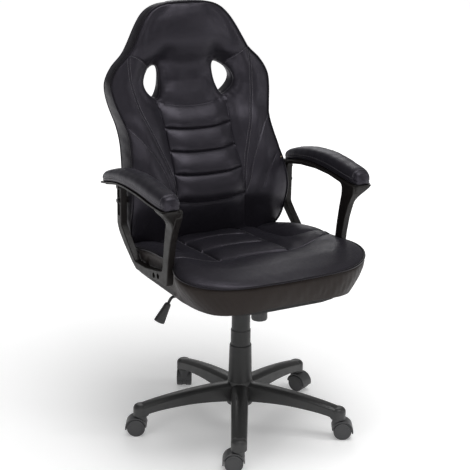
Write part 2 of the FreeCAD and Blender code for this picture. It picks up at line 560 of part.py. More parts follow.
def strip(d0, d1, z0, z1):
    """slab that follows the rear of the back between two depths measured from it"""
    zs = [z0 + (z1 - z0) * k / 20.0 for k in range(21)]
    a = [(bb(z) + d0, z) for z in zs]
    b = [(bb(z) + d1, z) for z in zs[::-1]]
    pts = a + b
    w = Part.makePolygon([V(-300, y, z) for y, z in pts] + [V(-300, pts[0][0], pts[0][1])])
    return Part.Face(w).extrude(V(600, 0, 0))


outline = front_outline(14.0, 528.0, 1108.0)
slab_all = strip(-17.0, 60.0, 528.0, 1108.0).common(outline)
slab_board = strip(-17.0, -6.0, 528.0, 1108.0).common(outline)
slab_cover = strip(-6.0, 60.0, 528.0, 1108.0).common(outline).common(back)

# the two shoulder openings: sloping ovals that go right through
def hole(grow, s):
    c = [(102, 877), (121, 887), (137, 905), (141, 925), (131, 945), (112, 960), (94, 966), (86, 955), (85, 930), (89, 900)]
    cx = sum(p[0] for p in c) / len(c)
    cz = sum(p[1] for p in c) / len(c)
    pts = []
    for x, z in c:
        d = math.hypot(x - cx, z - cz)
        f = (d + grow) / d
        pts.append((s * (cx + (x - cx) * f), 200, cz + (z - cz) * f))
    return Part.Face(closed_spline(pts)).extrude(V(0, 260, 0))


def bolt_back(s):
    return [(s, 205.5, z) for z in (632.0, 672.0)]


blocks = []
for s in (1, -1):
    xs = sorted((s * 192.0, s * 232.0))
    blocks.append(box(xs[0], 190, 590, xs[1], 246, 706).cut(strip(-6.0, 80.0, 500.0, 1108.0)))
board_b = slab_board
for b in blocks:
    board_b = board_b.fuse(b)
cushion = back.cut(slab_all)
for b in blocks:
    cushion = cushion.cut(b)
for s in (1, -1):
    cushion = cushion.cut(hole(0.0, s))
    board_b = board_b.cut(hole(9.0, s))
    slab_cover = slab_cover.cut(hole(1.0, s))
back_nuts, arm_back_bolts = [], []
for s in (1, -1):
    for q, y, z in bolt_back(s):
        d = (-s, 0, 0)
        cushion = cushion.cut(cyl(5.5, 40, (s * 262, y, z), d)).cut(cyl(9.2, 20, (s * 264.2, y, z), d))
        board_b = board_b.cut(cyl(5.0, 30, (s * 233, y, z), d))
        back_nuts.append(cyl(5.0, 24, (s * 231.5, y, z), d).cut(cyl(3.3, 60, (s * 250, y, z), d)))
        b_ = cyl(3.3, 273.0 - 212.0, (s * 273, y, z), d).fuse(cyl(6.5, 5.0, (s * 277.0, y, z), d))
        hexs = Part.Face(Part.makePolygon([V(s * 278, y + 2.9 * math.cos(math.radians(60 * k)), z + 2.9 * math.sin(math.radians(60 * k))) for k in range(7)])).extrude(V(-s * 4.0, 0, 0))
        arm_back_bolts.append(b_.cut(hexs))
save("back_board", board_b.removeSplitter())
save("back_cover", slab_cover)
save("back_cushion", cushion)
save("back_tee_nuts", Part.makeCompound(back_nuts))
save("arm_back_bolts", Part.makeCompound(arm_back_bolts))
for nm, sh in (("back_board", board_b), ("back_cover", slab_cover), ("back_cushion", cushion), ("seat_cushion", seat)):
    print(nm, sh.isValid(), len(sh.Solids), round(sh.Volume / 1e6, 3))

# ---------------------------------------------------------------- armrests
LIP_Y = [-158, -150, -130, -90, -40, 0, 60, 100, 130, 170, 210, 235, 252]
LIP_Z = [697.5, 697.5, 698.5, 701.5, 707, 710, 711.5, 709.5, 706, 698.5, 689.5, 684, 680.5]


def lipz(y): return smooth(y, LIP_Y, LIP_Z)


def arm_frame():
    P = lambda y, z: V(ARM_IN, y, z)
    outer = [(-92, 478), (-101, 552), (-113, 603), (-127, 640), (-146, 674), (-150, 695), (-90, 699), (-40, 704.5), (0, 707.5), (60, 709), (130, 703.5), (180, 694), (219, 685),
             (219, 566), (206, 545), (173, 517), (121, 481), (96, 468.5), (19, 471.5), (-42, 479), (-66, 478)]
    rad = [9, 60, 60, 60, 12, 6, 60, 60, 60, 60, 60, 60, 4, 12, 40, 60, 40, 14, 60, 60, 6]
    inner = [(-67, 522), (-74, 575), (-82, 622), (-91, 662), (-92, 690), (-25, 699.5), (42, 701), (121, 694.5), (192, 681.5), (193, 568), (169, 545), (124, 506), (104, 489), (35, 492.5), (-32, 505), (-62, 512)]
    radi = [8, 60, 60, 20, 16, 60, 60, 60, 10, 14, 40, 30, 24, 80, 60, 10]
    f = Part.Face([rounded_poly(outer, rad, P), rounded_poly(inner, radi, P)])
    f.validate()
    web = f.extrude(V(ARM_OUT - ARM_IN, 0, 0))
    if web.Volume < 0:
        web.reverse()
    ed = [e for e in web.Edges if e.BoundBox.XLength < 0.01]
    web = try_fillet(web, 5.5, ed)
    # lip plate under the pad
    ys = [-158 + 410 * k / 40.0 for k in range(41)]
    up = [(y, lipz(y)) for y in ys]
    dn = [(y, lipz(y) - 4.5) for y in ys[::-1]]
    w = Part.makePolygon([V(240, y, z) for y, z in up + dn] + [V(240, up[0][0], up[0][1])])
    lip = Part.Face(w).extrude(V(100, 0, 0))
    plan = rounded_poly([(257, -154), (311, -156), (317, -60), (318.5, 60), (317, 200), (309, 249), (272, 249), (257, 225), (255, 60)], [22, 22, 60, 60, 60, 16, 12, 20, 60], lambda a, b: V(a, b, 640))
    lip = lip.common(Part.Face(plan).extrude(V(0, 0, 120)))
    # nose gusset that spreads from the front post to the full platform
    def ring(z, x0, x1, y0, y1, r):
        return rounded_poly([(x0, y0), (x1, y0), (x1, y1), (x0, y1)], r, lambda a, b: V(a, b, z))
    nose = loft([ring(694.5, 257.5, 311, -154, -92, 9), ring(684, 256, 304, -150, -93, 8.5), ring(670, 254.5, 290, -142, -92.5, 8), ring(655, 253.6, 278, -134, -90.5, 7),
                 ring(638, 253.2, 272.2, -126.5, -87, 5.5), ring(615, 253.1, 271.9, -117.5, -83, 5.5)])
    body = web.fuse(lip).fuse(nose)
    # stiffening rib under the lip, outboard of the web
    ribp = [(y, lipz(y) - 3) for y in ys if -96 <= y <= 222]
    ribd = [(y, lipz(y) - 9.0) for y in ys[::-1] if -96 <= y <= 222]
    w = Part.makePolygon([V(300, y, z) for y, z in ribp + ribd] + [V(300, ribp[0][0], ribp[0][1])])
    body = body.fuse(Part.Face(w).extrude(V(3, 0, 0)))
    # flange that stiffens the outer face of the rear post and strut: shallow recess
    rec = rounded_poly([(199, 590), (212.5, 590), (212.5, 680), (199, 682)], 4, lambda a, b: V(ARM_OUT + 1, a, b))
    body = body.cut(Part.Face(rec).extrude(V(-6.0, 0, 0)))
    for z in (632.0, 672.0):
        body = body.fuse(cyl(8.5, ARM_OUT + 0.0 - 244.6, (244.6, 205.5, z), (1, 0, 0)))
        body = body.cut(cyl(3.5, 60, (240, 205.5, z), (1, 0, 0)))
    for y, z in SEAT_BOLTS:
        body = body.fuse(cyl(10.5, ARM_OUT - 2 - 251.2, (251.2, y, z), (1, 0, 0)))
        body = body.cut(cyl(7.3, 20, (262.0, y, z), (1, 0, 0)))
        body = body.cut(cyl(3.5, 60, (240, y, z), (1, 0, 0)))
    return body.removeSplitter()


frame_r = arm_frame()
print("arm", frame_r.isValid(), len(frame_r.Solids), frame_r.Volume / 1e3)
save("arm_frame_right", frame_r)
save("arm_frame_left", mirrored(frame_r))

PAD_Y = [-153, -149, -140, -120, -85, -40, 0, 40, 80, 115, 150, 180, 205, 222, 232, 236]
PAD_H = [23.5, 30, 35, 40.5, 42, 42.5, 42.5, 41, 38.5, 37, 35.5, 33.5, 31, 27, 21, 15]
PAD_W = [15, 20, 23.5, 26, 27.2, 27.8, 28, 28, 28, 28, 27.6, 27, 25.5, 22.5, 18, 12]
PAD_C = [284, 284, 284, 284.5, 285.5, 286.5, 287, 287.5, 288, 288, 288, 288, 288, 288, 288, 288]


def pad_section(y, h, w, c):
    zb = lipz(y) + 0.4
    half = [(0, zb + h), (0.45 * w, zb + h - 0.8), (0.78 * w, zb + h - 5.0), (0.97 * w, zb + 0.62 * h), (w, zb + 0.36 * h), (0.93 * w, zb + 3.0), (0.8 * w, zb), (0.4 * w, zb), (0, zb)]
    pts = [(c + a, y, b) for a, b in half] + [(c - a, y, b) for a, b in half[1:-1][::-1]]
    return closed_spline(pts)


pad = loft([pad_section(*q) for q in zip(PAD_Y, PAD_H, PAD_W, PAD_C)])
ys = [-158 + 410 * k / 40.0 for k in range(41)]
low = Part.Face(Part.makePolygon([V(200, y, lipz(y) + 0.1) for y in ys] + [V(200, 252, 600), V(200, -158, 600), V(200, ys[0], lipz(ys[0]) + 0.1)])).extrude(V(200, 0, 0))
pad = pad.cut(low)
print("pad", pad.isValid(), len(pad.Solids), pad.Volume / 1e3)
save("arm_pad_right", pad)
save("arm_pad_left", mirrored(pad))
print("files", len(os.listdir("parts")))
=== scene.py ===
import math
import bpy
import bmesh
import numpy as np
from mathutils import Vector, Matrix
from mathutils.geometry import delaunay_2d_cdt


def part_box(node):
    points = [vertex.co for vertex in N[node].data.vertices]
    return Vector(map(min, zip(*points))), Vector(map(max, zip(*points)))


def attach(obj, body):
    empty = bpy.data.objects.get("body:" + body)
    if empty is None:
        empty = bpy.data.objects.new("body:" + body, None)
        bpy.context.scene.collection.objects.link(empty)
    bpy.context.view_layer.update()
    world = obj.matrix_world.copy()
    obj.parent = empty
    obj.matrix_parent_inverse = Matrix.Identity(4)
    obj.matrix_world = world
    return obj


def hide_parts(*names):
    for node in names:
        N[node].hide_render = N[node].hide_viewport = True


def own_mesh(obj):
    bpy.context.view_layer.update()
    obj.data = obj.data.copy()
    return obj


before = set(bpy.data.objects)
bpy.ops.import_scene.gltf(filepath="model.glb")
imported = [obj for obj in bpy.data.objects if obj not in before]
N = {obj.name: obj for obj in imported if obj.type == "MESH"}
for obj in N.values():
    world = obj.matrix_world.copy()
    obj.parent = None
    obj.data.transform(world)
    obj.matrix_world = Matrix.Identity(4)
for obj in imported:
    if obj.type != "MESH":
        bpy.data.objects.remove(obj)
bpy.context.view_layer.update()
scene = bpy.context.scene
MM = 0.001

# ------------------------------------------------------------------ camera
AZ, DIST, CAM_H, AIM_Z, AIM_X, ROLL, FOCAL = math.radians(-29.44), 3.175, 1.565, 0.554, -0.020, math.radians(0.87), 1232.76
C = Vector((math.sin(AZ) * DIST, -math.cos(AZ) * DIST, CAM_H))
T = Vector((0, 0, AIM_Z)) + Vector((math.cos(AZ), math.sin(AZ), 0)) * AIM_X
fw = (T - C).normalized()
r = fw.cross(Vector((0, 0, 1))).normalized()
u = r.cross(fw)
c_, s_ = math.cos(ROLL), math.sin(ROLL)
r2, u2 = c_ * r + s_ * u, -s_ * r + c_ * u
cam = bpy.data.cameras.new("camera")
cam.sensor_width = 36
cam.lens = FOCAL * 36 / 470
cam.clip_start = 0.05
cam_o = bpy.data.objects.new("camera", cam)
scene.collection.objects.link(cam_o)
cam_o.matrix_world = Matrix(((r2.x, u2.x, -fw.x, C.x), (r2.y, u2.y, -fw.y, C.y), (r2.z, u2.z, -fw.z, C.z), (0, 0, 0, 1)))
scene.camera = cam_o


# ------------------------------------------------------------------ tables
def sm(t, xs, ys):
    """Catmull-Rom through a table"""
    t = np.asarray(t, float)
    xs = np.asarray(xs, float)
    ys = np.asarray(ys, float)
    tc = np.clip(t, xs[0], xs[-1])
    i = np.clip(np.searchsorted(xs, tc, side="right"), 1, len(xs) - 1)
    m = np.empty(len(xs))
    m[1:-1] = (ys[2:] - ys[:-2]) / (xs[2:] - xs[:-2])
    m[0] = (ys[1] - ys[0]) / (xs[1] - xs[0])
    m[-1] = (ys[-1] - ys[-2]) / (xs[-1] - xs[-2])
    h = xs[i] - xs[i - 1]
    s = (tc - xs[i - 1]) / h
    return ((2 * s**3 - 3 * s**2 + 1) * ys[i - 1] + (s**3 - 2 * s**2 + s) * h * m[i - 1]
            + (-2 * s**3 + 3 * s**2) * ys[i] + (s**3 - s**2) * h * m[i])


def smv(t, ks, v):
    """Catmull-Rom across fixed knots with values that differ from point to point"""
    ks = np.asarray(ks, float)
    t = np.clip(t, ks[0], ks[-1])
    n = len(ks)
    i = np.clip(np.searchsorted(ks, t, side="right"), 1, n - 1)
    ar = np.arange(t.shape[0])
    m = np.empty_like(v)
    m[1:-1] = (v[2:] - v[:-2]) / (ks[2:] - ks[:-2])[:, None]
    m[0] = 0
    m[-1] = (v[-1] - v[-2]) / (ks[-1] - ks[-2])
    h = ks[i] - ks[i - 1]
    s = (t - ks[i - 1]) / h
    return ((2 * s**3 - 3 * s**2 + 1) * v[i - 1, ar] + (s**3 - 2 * s**2 + s) * h * m[i - 1, ar]
            + (-2 * s**3 + 3 * s**2) * v[i, ar] + (s**3 - s**2) * h * m[i, ar])


def ease(t):
    t = np.clip(t, 0, 1)
    return t * t * (3 - 2 * t)


def resample(pts, step, closed=False):
    """points at an even spacing along a polyline"""
    p = np.asarray(pts, float)
    if closed:
        p = np.vstack([p, p[:1]])
    d = np.r_[0, np.cumsum(np.linalg.norm(np.diff(p, axis=0), axis=1))]
    n = max(2, int(round(d[-1] / step)))
    t = np.linspace(0, d[-1], n + 1)
    q = np.stack([np.interp(t, d, p[:, k]) for k in range(p.shape[1])], 1)
    return q[:-1] if closed else q


def spline(pts, step, closed=False):
    """smooth curve through the points, evenly resampled"""
    p = np.asarray(pts, float)
    n = len(p)
    out = []
    rng = range(n) if closed else range(n - 1)
    for i in rng:
        p1, p2 = p[i], p[(i + 1) % n]
        p0 = p[(i - 1) % n] if closed or i > 0 else p1
        p3 = p[(i + 2) % n] if closed or i < n - 2 else p2
        s = np.linspace(0, 1, 16, endpoint=False)[:, None]
        m1, m2 = (p2 - p0) / 2, (p3 - p1) / 2
        if not closed and i == 0:
            m1 = p2 - p1
        if not closed and i == n - 2:
            m2 = p2 - p1
        out.append((2 * s**3 - 3 * s**2 + 1) * p1 + (s**3 - 2 * s**2 + s) * m1 + (-2 * s**3 + 3 * s**2) * p2 + (s**3 - s**2) * m2)
    q = np.vstack(out)
    if not closed:
        q = np.vstack([q, p[-1:]])
    return resample(q, step, closed)


def to_polyline(p, line, closed=False):
    """distance to a polyline and the place along it"""
    a = np.asarray(line, float)
    if closed:
        a = np.vstack([a, a[:1]])
    b = a[1:]
    a = a[:-1]
    ab = b - a
    l2 = (ab**2).sum(1)
    cum = np.r_[0, np.cumsum(np.sqrt(l2))]
    best = np.full(len(p), 1e9)
    arc = np.zeros(len(p))
    side = np.zeros(len(p))
    for k in range(len(a)):
        ap = p - a[k]
        t = np.clip((ap @ ab[k]) / max(l2[k], 1e-12), 0, 1)
        dd = np.linalg.norm(ap - t[:, None] * ab[k], axis=1)
        m = dd < best
        best[m] = dd[m]
        arc[m] = cum[k] + t[m] * math.sqrt(l2[k])
        side[m] = np.sign(ab[k, 0] * ap[m, 1] - ab[k, 1] * ap[m, 0])
    return best, arc, side, cum[-1]


def inside(p, poly):
    x, y = p[:, 0], p[:, 1]
    px, py = poly[:, 0], poly[:, 1]
    qx, qy = np.roll(px, -1), np.roll(py, -1)
    res = np.zeros(len(p), bool)
    for k in range(len(poly)):
        c = (py[k] > y) != (qy[k] > y)
        with np.errstate(divide="ignore", invalid="ignore"):
            xi = (qx[k] - px[k]) * (y - py[k]) / (qy[k] - py[k]) + px[k]
        res ^= c & (x < xi)
    return res


def normals2(poly):
    """outward normals of a closed counter-clockwise outline"""
    t = np.roll(poly, -1, 0) - np.roll(poly, 1, 0)
    t /= np.linalg.norm(t, axis=1)[:, None]
    n = np.stack([t[:, 1], -t[:, 0]], 1)
    area = 0.5 * np.sum(poly[:, 0] * np.roll(poly[:, 1], -1) - np.roll(poly[:, 0], -1) * poly[:, 1])
    return n if area > 0 else -n


# ------------------------------------------------------------------ mesh tools
def add_object(name, verts, faces, smooth=True):
    me = bpy.data.meshes.new(name)
    me.from_pydata([tuple(v) for v in verts], [], [tuple(int(i) for i in f) for f in faces])
    me.validate()
    me.update()
    if smooth:
        me.polygons.foreach_set("use_smooth", [True] * len(me.polygons))
    o = bpy.data.objects.new(name, me)
    scene.collection.objects.link(o)
    return o


def frames(pts, closed, up=None):
    p = np.asarray(pts, float)
    if closed:
        t = np.roll(p, -1, 0) - np.roll(p, 1, 0)
    else:
        t = np.gradient(p, axis=0)
    t /= np.linalg.norm(t, axis=1)[:, None]
    ns = []
    n = np.cross(t[0], up if up is not None else (0.0, 0.0, 1.0))
    if np.linalg.norm(n) < 1e-3:
        n = np.cross(t[0], (1.0, 0, 0))
    n /= np.linalg.norm(n)
    for i in range(len(p)):
        n = n - t[i] * (n @ t[i])
        n /= np.linalg.norm(n)
        ns.append(n)
    ns = np.array(ns)
    return t, ns, np.cross(t, ns)


def tube(name, pts, rad, sides=10, closed=False, caps=True):
    """round bar along a path; rad may vary along it"""
    p = np.asarray(pts, float)
    rad = np.full(len(p), rad) if np.isscalar(rad) else np.asarray(rad)
    t, a, b = frames(p, closed)
    ang = np.arange(sides) * 2 * math.pi / sides
    rings = p[:, None] + rad[:, None, None] * (np.cos(ang)[None, :, None] * a[:, None] + np.sin(ang)[None, :, None] * b[:, None])
    v = rings.reshape(-1, 3).tolist()
    f = []
    n = len(p)
    for i in range(n if closed else n - 1):
        j = (i + 1) % n
        for k in range(sides):
            l = (k + 1) % sides
            f.append((i * sides + k, i * sides + l, j * sides + l, j * sides + k))
    if not closed and caps:
        for i, sgn in ((0, -1), (n - 1, 1)):
            v.append((p[i] + t[i] * sgn * rad[i] * 0.6).tolist())
            c = len(v) - 1
            for k in range(sides):
                l = (k + 1) % sides
                f.append((i * sides + l, i * sides + k, c) if i == 0 else (i * sides + k, i * sides + l, c))
    return v, f


def join_parts(name, parts):
    verts, faces = [], []
    for v, f in parts:
        o = len(verts)
        verts.extend(v)
        faces.extend([tuple(i + o for i in q) for q in f])
    return add_object(name, verts, faces)


def thread(pts, nrm, length=3.6, gap=1.3, r=0.5, lift=0.2):
    """a row of stitches: short rounded thread lengths that dip into the cover at both ends"""
    parts = []
    p = resample(pts, 0.5)
    nn = resample_like(p, pts, nrm)
    step = length + gap
    n = int((len(p) - 1) * 0.5 / step)
    for k in range(n):
        s0 = k * step / 0.5
        idx = np.clip((s0 + np.linspace(0, length / 0.5, 6)).astype(int), 0, len(p) - 1)
        q = p[idx]
        w = np.sin(np.linspace(0, math.pi, 6))
        q = q + nn[idx] * (lift + 0.45 * w - 0.35)[:, None]
        if np.linalg.norm(q[-1] - q[0]) < 1:
            continue
        parts.append(tube("s", q * MM, r * MM, 5))
    return parts


def resample_like(p, pts, nrm):
    a = np.asarray(pts, float)
    d = np.r_[0, np.cumsum(np.linalg.norm(np.diff(a, axis=0), axis=1))]
    e = np.r_[0, np.cumsum(np.linalg.norm(np.diff(p, axis=0), axis=1))]
    e = e / max(e[-1], 1e-9) * d[-1]
    q = np.stack([np.interp(e, d, np.asarray(nrm)[:, k]) for k in range(3)], 1)
    return q / np.linalg.norm(q, axis=1)[:, None]


def cdt_panel(outline, holes, rings_out, rings_hole, seams, grid):
    """plan triangulation with rings along the borders and rows beside each seam"""
    pts = []
    no = normals2(outline)
    for d in rings_out:
        pts.append(outline - no * d)
    for h in holes:
        nh = normals2(h)
        for d in rings_hole:
            pts.append(h + nh * d)
    margin_o, margin_h = rings_out[-1] + grid * 0.55, rings_hole[-1] + grid * 0.55 if len(holes) else 0
    lo, hi = outline.min(0), outline.max(0)
    gx = np.arange(lo[0], hi[0] + grid, grid)
    gy = np.arange(lo[1], hi[1] + grid, grid * 0.866)
    g = np.array([(x + (grid * 0.5 if j % 2 else 0), y) for j, y in enumerate(gy) for x in gx])
    g = g[inside(g, outline)]
    g = g[to_polyline(g, outline, True)[0] > margin_o]
    for h in holes:
        g = g[~inside(g, h)]
        g = g[to_polyline(g, h, True)[0] > margin_h]
    sp = []
    for s in seams:
        s = resample(s, 4.0)
        t = np.gradient(s, axis=0)
        t /= np.linalg.norm(t, axis=1)[:, None]
        n = np.stack([-t[:, 1], t[:, 0]], 1)
        for d in (-4.2, -2.4, -1.1, 0, 1.1, 2.4, 4.2):
            sp.append(s + n * d)
    if sp:
        sp = np.vstack(sp)
        sp = sp[inside(sp, outline)]
        sp = sp[to_polyline(sp, outline, True)[0] > rings_out[-1] + 1.0]
        for h in holes:
            sp = sp[~inside(sp, h)]
            sp = sp[to_polyline(sp, h, True)[0] > rings_hole[-1] + 1.0]
        keep = np.ones(len(g), bool)
        for s in seams:
            keep &= to_polyline(g, resample(s, 6.0))[0] > 6.2
        g = g[keep]
        # thin out rows that cross one another
        used = {}
        ok = []
        for i, q in enumerate(sp):
            key = (int(q[0] // 0.9), int(q[1] // 0.9))
            if key in used:
                continue
            used[key] = 1
            ok.append(i)
        sp = sp[ok]
        pts.append(sp)
    pts.append(g)
    allp = np.vstack(pts)
    nb = len(outline)
    edges = [(i, (i + 1) % nb) for i in range(nb)]
    base = nb * len(rings_out)
    for h in holes:
        m = len(h)
        edges += [(base + i, base + (i + 1) % m) for i in range(m)]
        base += m * len(rings_hole)
    res = delaunay_2d_cdt([Vector(q) for q in allp], edges, [], 0, 1e-6)
    v = np.array([tuple(q) for q in res[0]])
    faces = [tuple(f) for f in res[2]]
    cen = np.array([v[list(f)].mean(0) for f in faces])
    keep = inside(cen, outline)
    for h in holes:
        keep &= ~inside(cen, h)
    faces = [f for f, k in zip(faces, keep) if k]
    return v, faces


# ------------------------------------------------------------------ materials
def mat(name):
    m = bpy.data.materials.new(name)
    m.use_nodes = True
    nt = m.node_tree
    b = nt.nodes["Principled BSDF"]
    return m, nt, b


def coords(nt, scale=1.0, stretch=(1, 1, 1)):
    tc = nt.nodes.new("ShaderNodeTexCoord")
    mp = nt.nodes.new("ShaderNodeMapping")
    mp.inputs["Scale"].default_value = [scale * k for k in stretch]
    nt.links.new(tc.outputs["Object"], mp.inputs["Vector"])
    return mp.outputs["Vector"]


def noise(nt, vec, scale, detail=3.0, rough=0.55):
    n = nt.nodes.new("ShaderNodeTexNoise")
    n.inputs["Scale"].default_value = scale
    n.inputs["Detail"].default_value = detail
    n.inputs["Roughness"].default_value = rough
    nt.links.new(vec, n.inputs["Vector"])
    return n.outputs["Fac"]


def ramp(nt, fac, stops):
    r_ = nt.nodes.new("ShaderNodeValToRGB")
    el = r_.color_ramp.elements
    while len(el) < len(stops):
        el.new(0.5)
    for e, (p, c) in zip(el, stops):
        e.position = p
        e.color = (*c, 1) if len(c) == 3 else c
    nt.links.new(fac, r_.inputs["Fac"])
    return r_.outputs["Color"]


def maprange(nt, fac, a, b, c, d):
    m = nt.nodes.new("ShaderNodeMapRange")
    m.inputs["From Min"].default_value = a
    m.inputs["From Max"].default_value = b
    m.inputs["To Min"].default_value = c
    m.inputs["To Max"].default_value = d
    nt.links.new(fac, m.inputs["Value"])
    return m.outputs["Result"]


def bump(nt, heights, b):
    """stack of (height socket, distance in metres, strength)"""
    last = None
    for h, dist, st in heights:
        n = nt.nodes.new("ShaderNodeBump")
        n.inputs["Strength"].default_value = st
        n.inputs["Distance"].default_value = dist
        nt.links.new(h, n.inputs["Height"])
        if last is not None:
            nt.links.new(last, n.inputs["Normal"])
        last = n.outputs["Normal"]
    nt.links.new(last, b.inputs["Normal"])


def mix(nt, fac, a, b, mode="MIX"):
    m = nt.nodes.new("ShaderNodeMix")
    m.data_type = "RGBA"
    m.blend_type = mode
    if isinstance(fac, float):
        m.inputs["Factor"].default_value = fac
    else:
        nt.links.new(fac, m.inputs["Factor"])
    for sock, val in ((m.inputs["A"], a), (m.inputs["B"], b)):
        pass
    ia, ib = m.inputs[6], m.inputs[7]
    for sock, val in ((ia, a), (ib, b)):
        if isinstance(val, tuple):
            sock.default_value = (*val, 1)
        else:
            nt.links.new(val, sock)
    return m.outputs[2]


def leather(name, base, tint, rough=0.42, grain=1.0, sheen=0.25, coat=0.0, spec=0.5, stint=(0.90, 0.84, 1.0, 1)):
    """faux leather: pebble cells about a millimetre across, fine pores, soft creases and worn, shinier high spots"""
    m, nt, b = mat(name)
    v = coords(nt)
    vo = nt.nodes.new("ShaderNodeTexVoronoi")
    vo.inputs["Scale"].default_value = 780.0
    vo.inputs["Randomness"].default_value = 1.0
    wob = nt.nodes.new("ShaderNodeTexNoise")
    wob.inputs["Scale"].default_value = 160.0
    nt.links.new(v, wob.inputs["Vector"])
    add = nt.nodes.new("ShaderNodeMixRGB")
    add.blend_type = "LINEAR_LIGHT"
    add.inputs[0].default_value = 0.0018
    nt.links.new(v, add.inputs[1])
    nt.links.new(wob.outputs["Color"], add.inputs[2])
    nt.links.new(add.outputs[0], vo.inputs["Vector"])
    cells = vo.outputs["Distance"]
    pores = noise(nt, v, 2600.0, 2.0)
    mid = noise(nt, v, 95.0, 4.0)
    big = noise(nt, v, 9.0, 4.0)
    col = ramp(nt, big, [(0.3, base), (0.72, tint)])
    lo = tuple(k * 0.72 for k in base)
    cellmask = maprange(nt, cells, 0.35, 0.75, 0.0, 0.65)
    col = mix(nt, cellmask, col, lo)
    wear = maprange(nt, mid, 0.55, 0.78, 0.0, 0.22)
    col = mix(nt, wear, col, tuple(min(1, k * 1.5 + 0.003) for k in tint))
    nt.links.new(col, b.inputs["Base Color"])
    ro = maprange(nt, mid, 0.25, 0.75, rough - 0.05, rough + 0.08)
    nt.links.new(ro, b.inputs["Roughness"])
    b.inputs["Sheen Weight"].default_value = sheen
    b.inputs["Sheen Roughness"].default_value = 0.45
    b.inputs["Sheen Tint"].default_value = (0.75, 0.74, 0.92, 1)
    b.inputs["Specular IOR Level"].default_value = spec
    b.inputs["Specular Tint"].default_value = stint
    b.inputs["Coat Weight"].default_value = coat
    b.inputs["Coat Roughness"].default_value = 0.3
    bump(nt, [(big, 0.004, 0.10), (mid, 0.0009, 0.18), (cells, 0.00022 * grain, 0.55), (pores, 0.00006 * grain, 0.35)], b)
    return m


def plastic(name, base, rough=0.5, grain=0.4, spec=0.5, var=0.2, scale=1500.0, sheen=0.0):
    """moulded nylon: spark-eroded grain, faint flow marks and handling marks"""
    m, nt, b = mat(name)
    v = coords(nt)
    fine = noise(nt, v, scale, 2.0, 0.6)
    mid = noise(nt, v, 60.0, 4.0)
    big = noise(nt, v, 7.0, 3.0)
    col = ramp(nt, big, [(0.3, tuple(k * (1 - var) for k in base)), (0.7, tuple(k * (1 + var) for k in base))])
    specks = maprange(nt, fine, 0.45, 0.7, 0.0, 0.35)
    col = mix(nt, specks, col, tuple(k * 1.5 for k in base))
    nt.links.new(col, b.inputs["Base Color"])
    nt.links.new(maprange(nt, mid, 0.3, 0.7, rough - 0.06, rough + 0.08), b.inputs["Roughness"])
    b.inputs["Specular IOR Level"].default_value = spec
    b.inputs["Sheen Weight"].default_value = sheen
    bump(nt, [(big, 0.002, 0.08), (mid, 0.0004, 0.12), (fine, 0.00016 * grain / 0.4, 0.45)], b)
    return m


def metal(name, base, rough=0.3, metallic=1.0, brushed=(1, 1, 12)):
    m, nt, b = mat(name)
    v = coords(nt, 1.0, brushed)
    fine = noise(nt, v, 900.0, 2.0)
    big = noise(nt, coords(nt), 18.0, 3.0)
    nt.links.new(ramp(nt, big, [(0.3, tuple(k * 0.8 for k in base)), (0.7, tuple(min(1, k * 1.15) for k in base))]), b.inputs["Base Color"])
    nt.links.new(maprange(nt, fine, 0.3, 0.7, rough - 0.07, rough + 0.1), b.inputs["Roughness"])
    b.inputs["Metallic"].default_value = metallic
    bump(nt, [(fine, 0.0001, 0.2)], b)
    return m


def wood(name):
    m, nt, b = mat(name)
    v = coords(nt)
    w = nt.nodes.new("ShaderNodeTexWave")
    w.wave_type = "BANDS"
    w.bands_direction = "Z"
    w.inputs["Scale"].default_value = 330.0
    w.inputs["Distortion"].default_value = 1.0
    nt.links.new(v, w.inputs["Vector"])
    g = noise(nt, coords(nt, 1.0, (6, 90, 90)), 2.0, 5.0)
    col = ramp(nt, w.outputs["Fac"], [(0.35, (0.42, 0.28, 0.15)), (0.6, (0.60, 0.44, 0.27))])
    col = mix(nt, maprange(nt, g, 0.4, 0.7, 0.0, 0.5), col, (0.30, 0.19, 0.10))
    nt.links.new(col, b.inputs["Base Color"])
    b.inputs["Roughness"].default_value = 0.62
    bump(nt, [(g, 0.0005, 0.3)], b)
    return m


def fabric(name, base, rough=0.85):
    """plain woven backing cloth"""
    m, nt, b = mat(name)
    v = coords(nt)
    hs = []
    for d in ("X", "Z"):
        w = nt.nodes.new("ShaderNodeTexWave")
        w.bands_direction = d
        w.inputs["Scale"].default_value = 420.0
        w.inputs["Distortion"].default_value = 0.6
        nt.links.new(v, w.inputs["Vector"])
        hs.append(w.outputs["Fac"])
    mm = nt.nodes.new("ShaderNodeMath")
    mm.operation = "MULTIPLY"
    nt.links.new(hs[0], mm.inputs[0])
    nt.links.new(hs[1], mm.inputs[1])
    big = noise(nt, v, 14.0, 3.0)
    col = ramp(nt, mm.outputs[0], [(0.1, tuple(k * 0.6 for k in base)), (0.7, tuple(k * 1.3 for k in base))])
    col = mix(nt, maprange(nt, big, 0.4, 0.7, 0.0, 0.35), col, tuple(k * 1.6 for k in base))
    nt.links.new(col, b.inputs["Base Color"])
    b.inputs["Roughness"].default_value = rough
    b.inputs["Sheen Weight"].default_value = 0.2
    bump(nt, [(mm.outputs[0], 0.0004, 0.6), (big, 0.002, 0.1)], b)
    return m


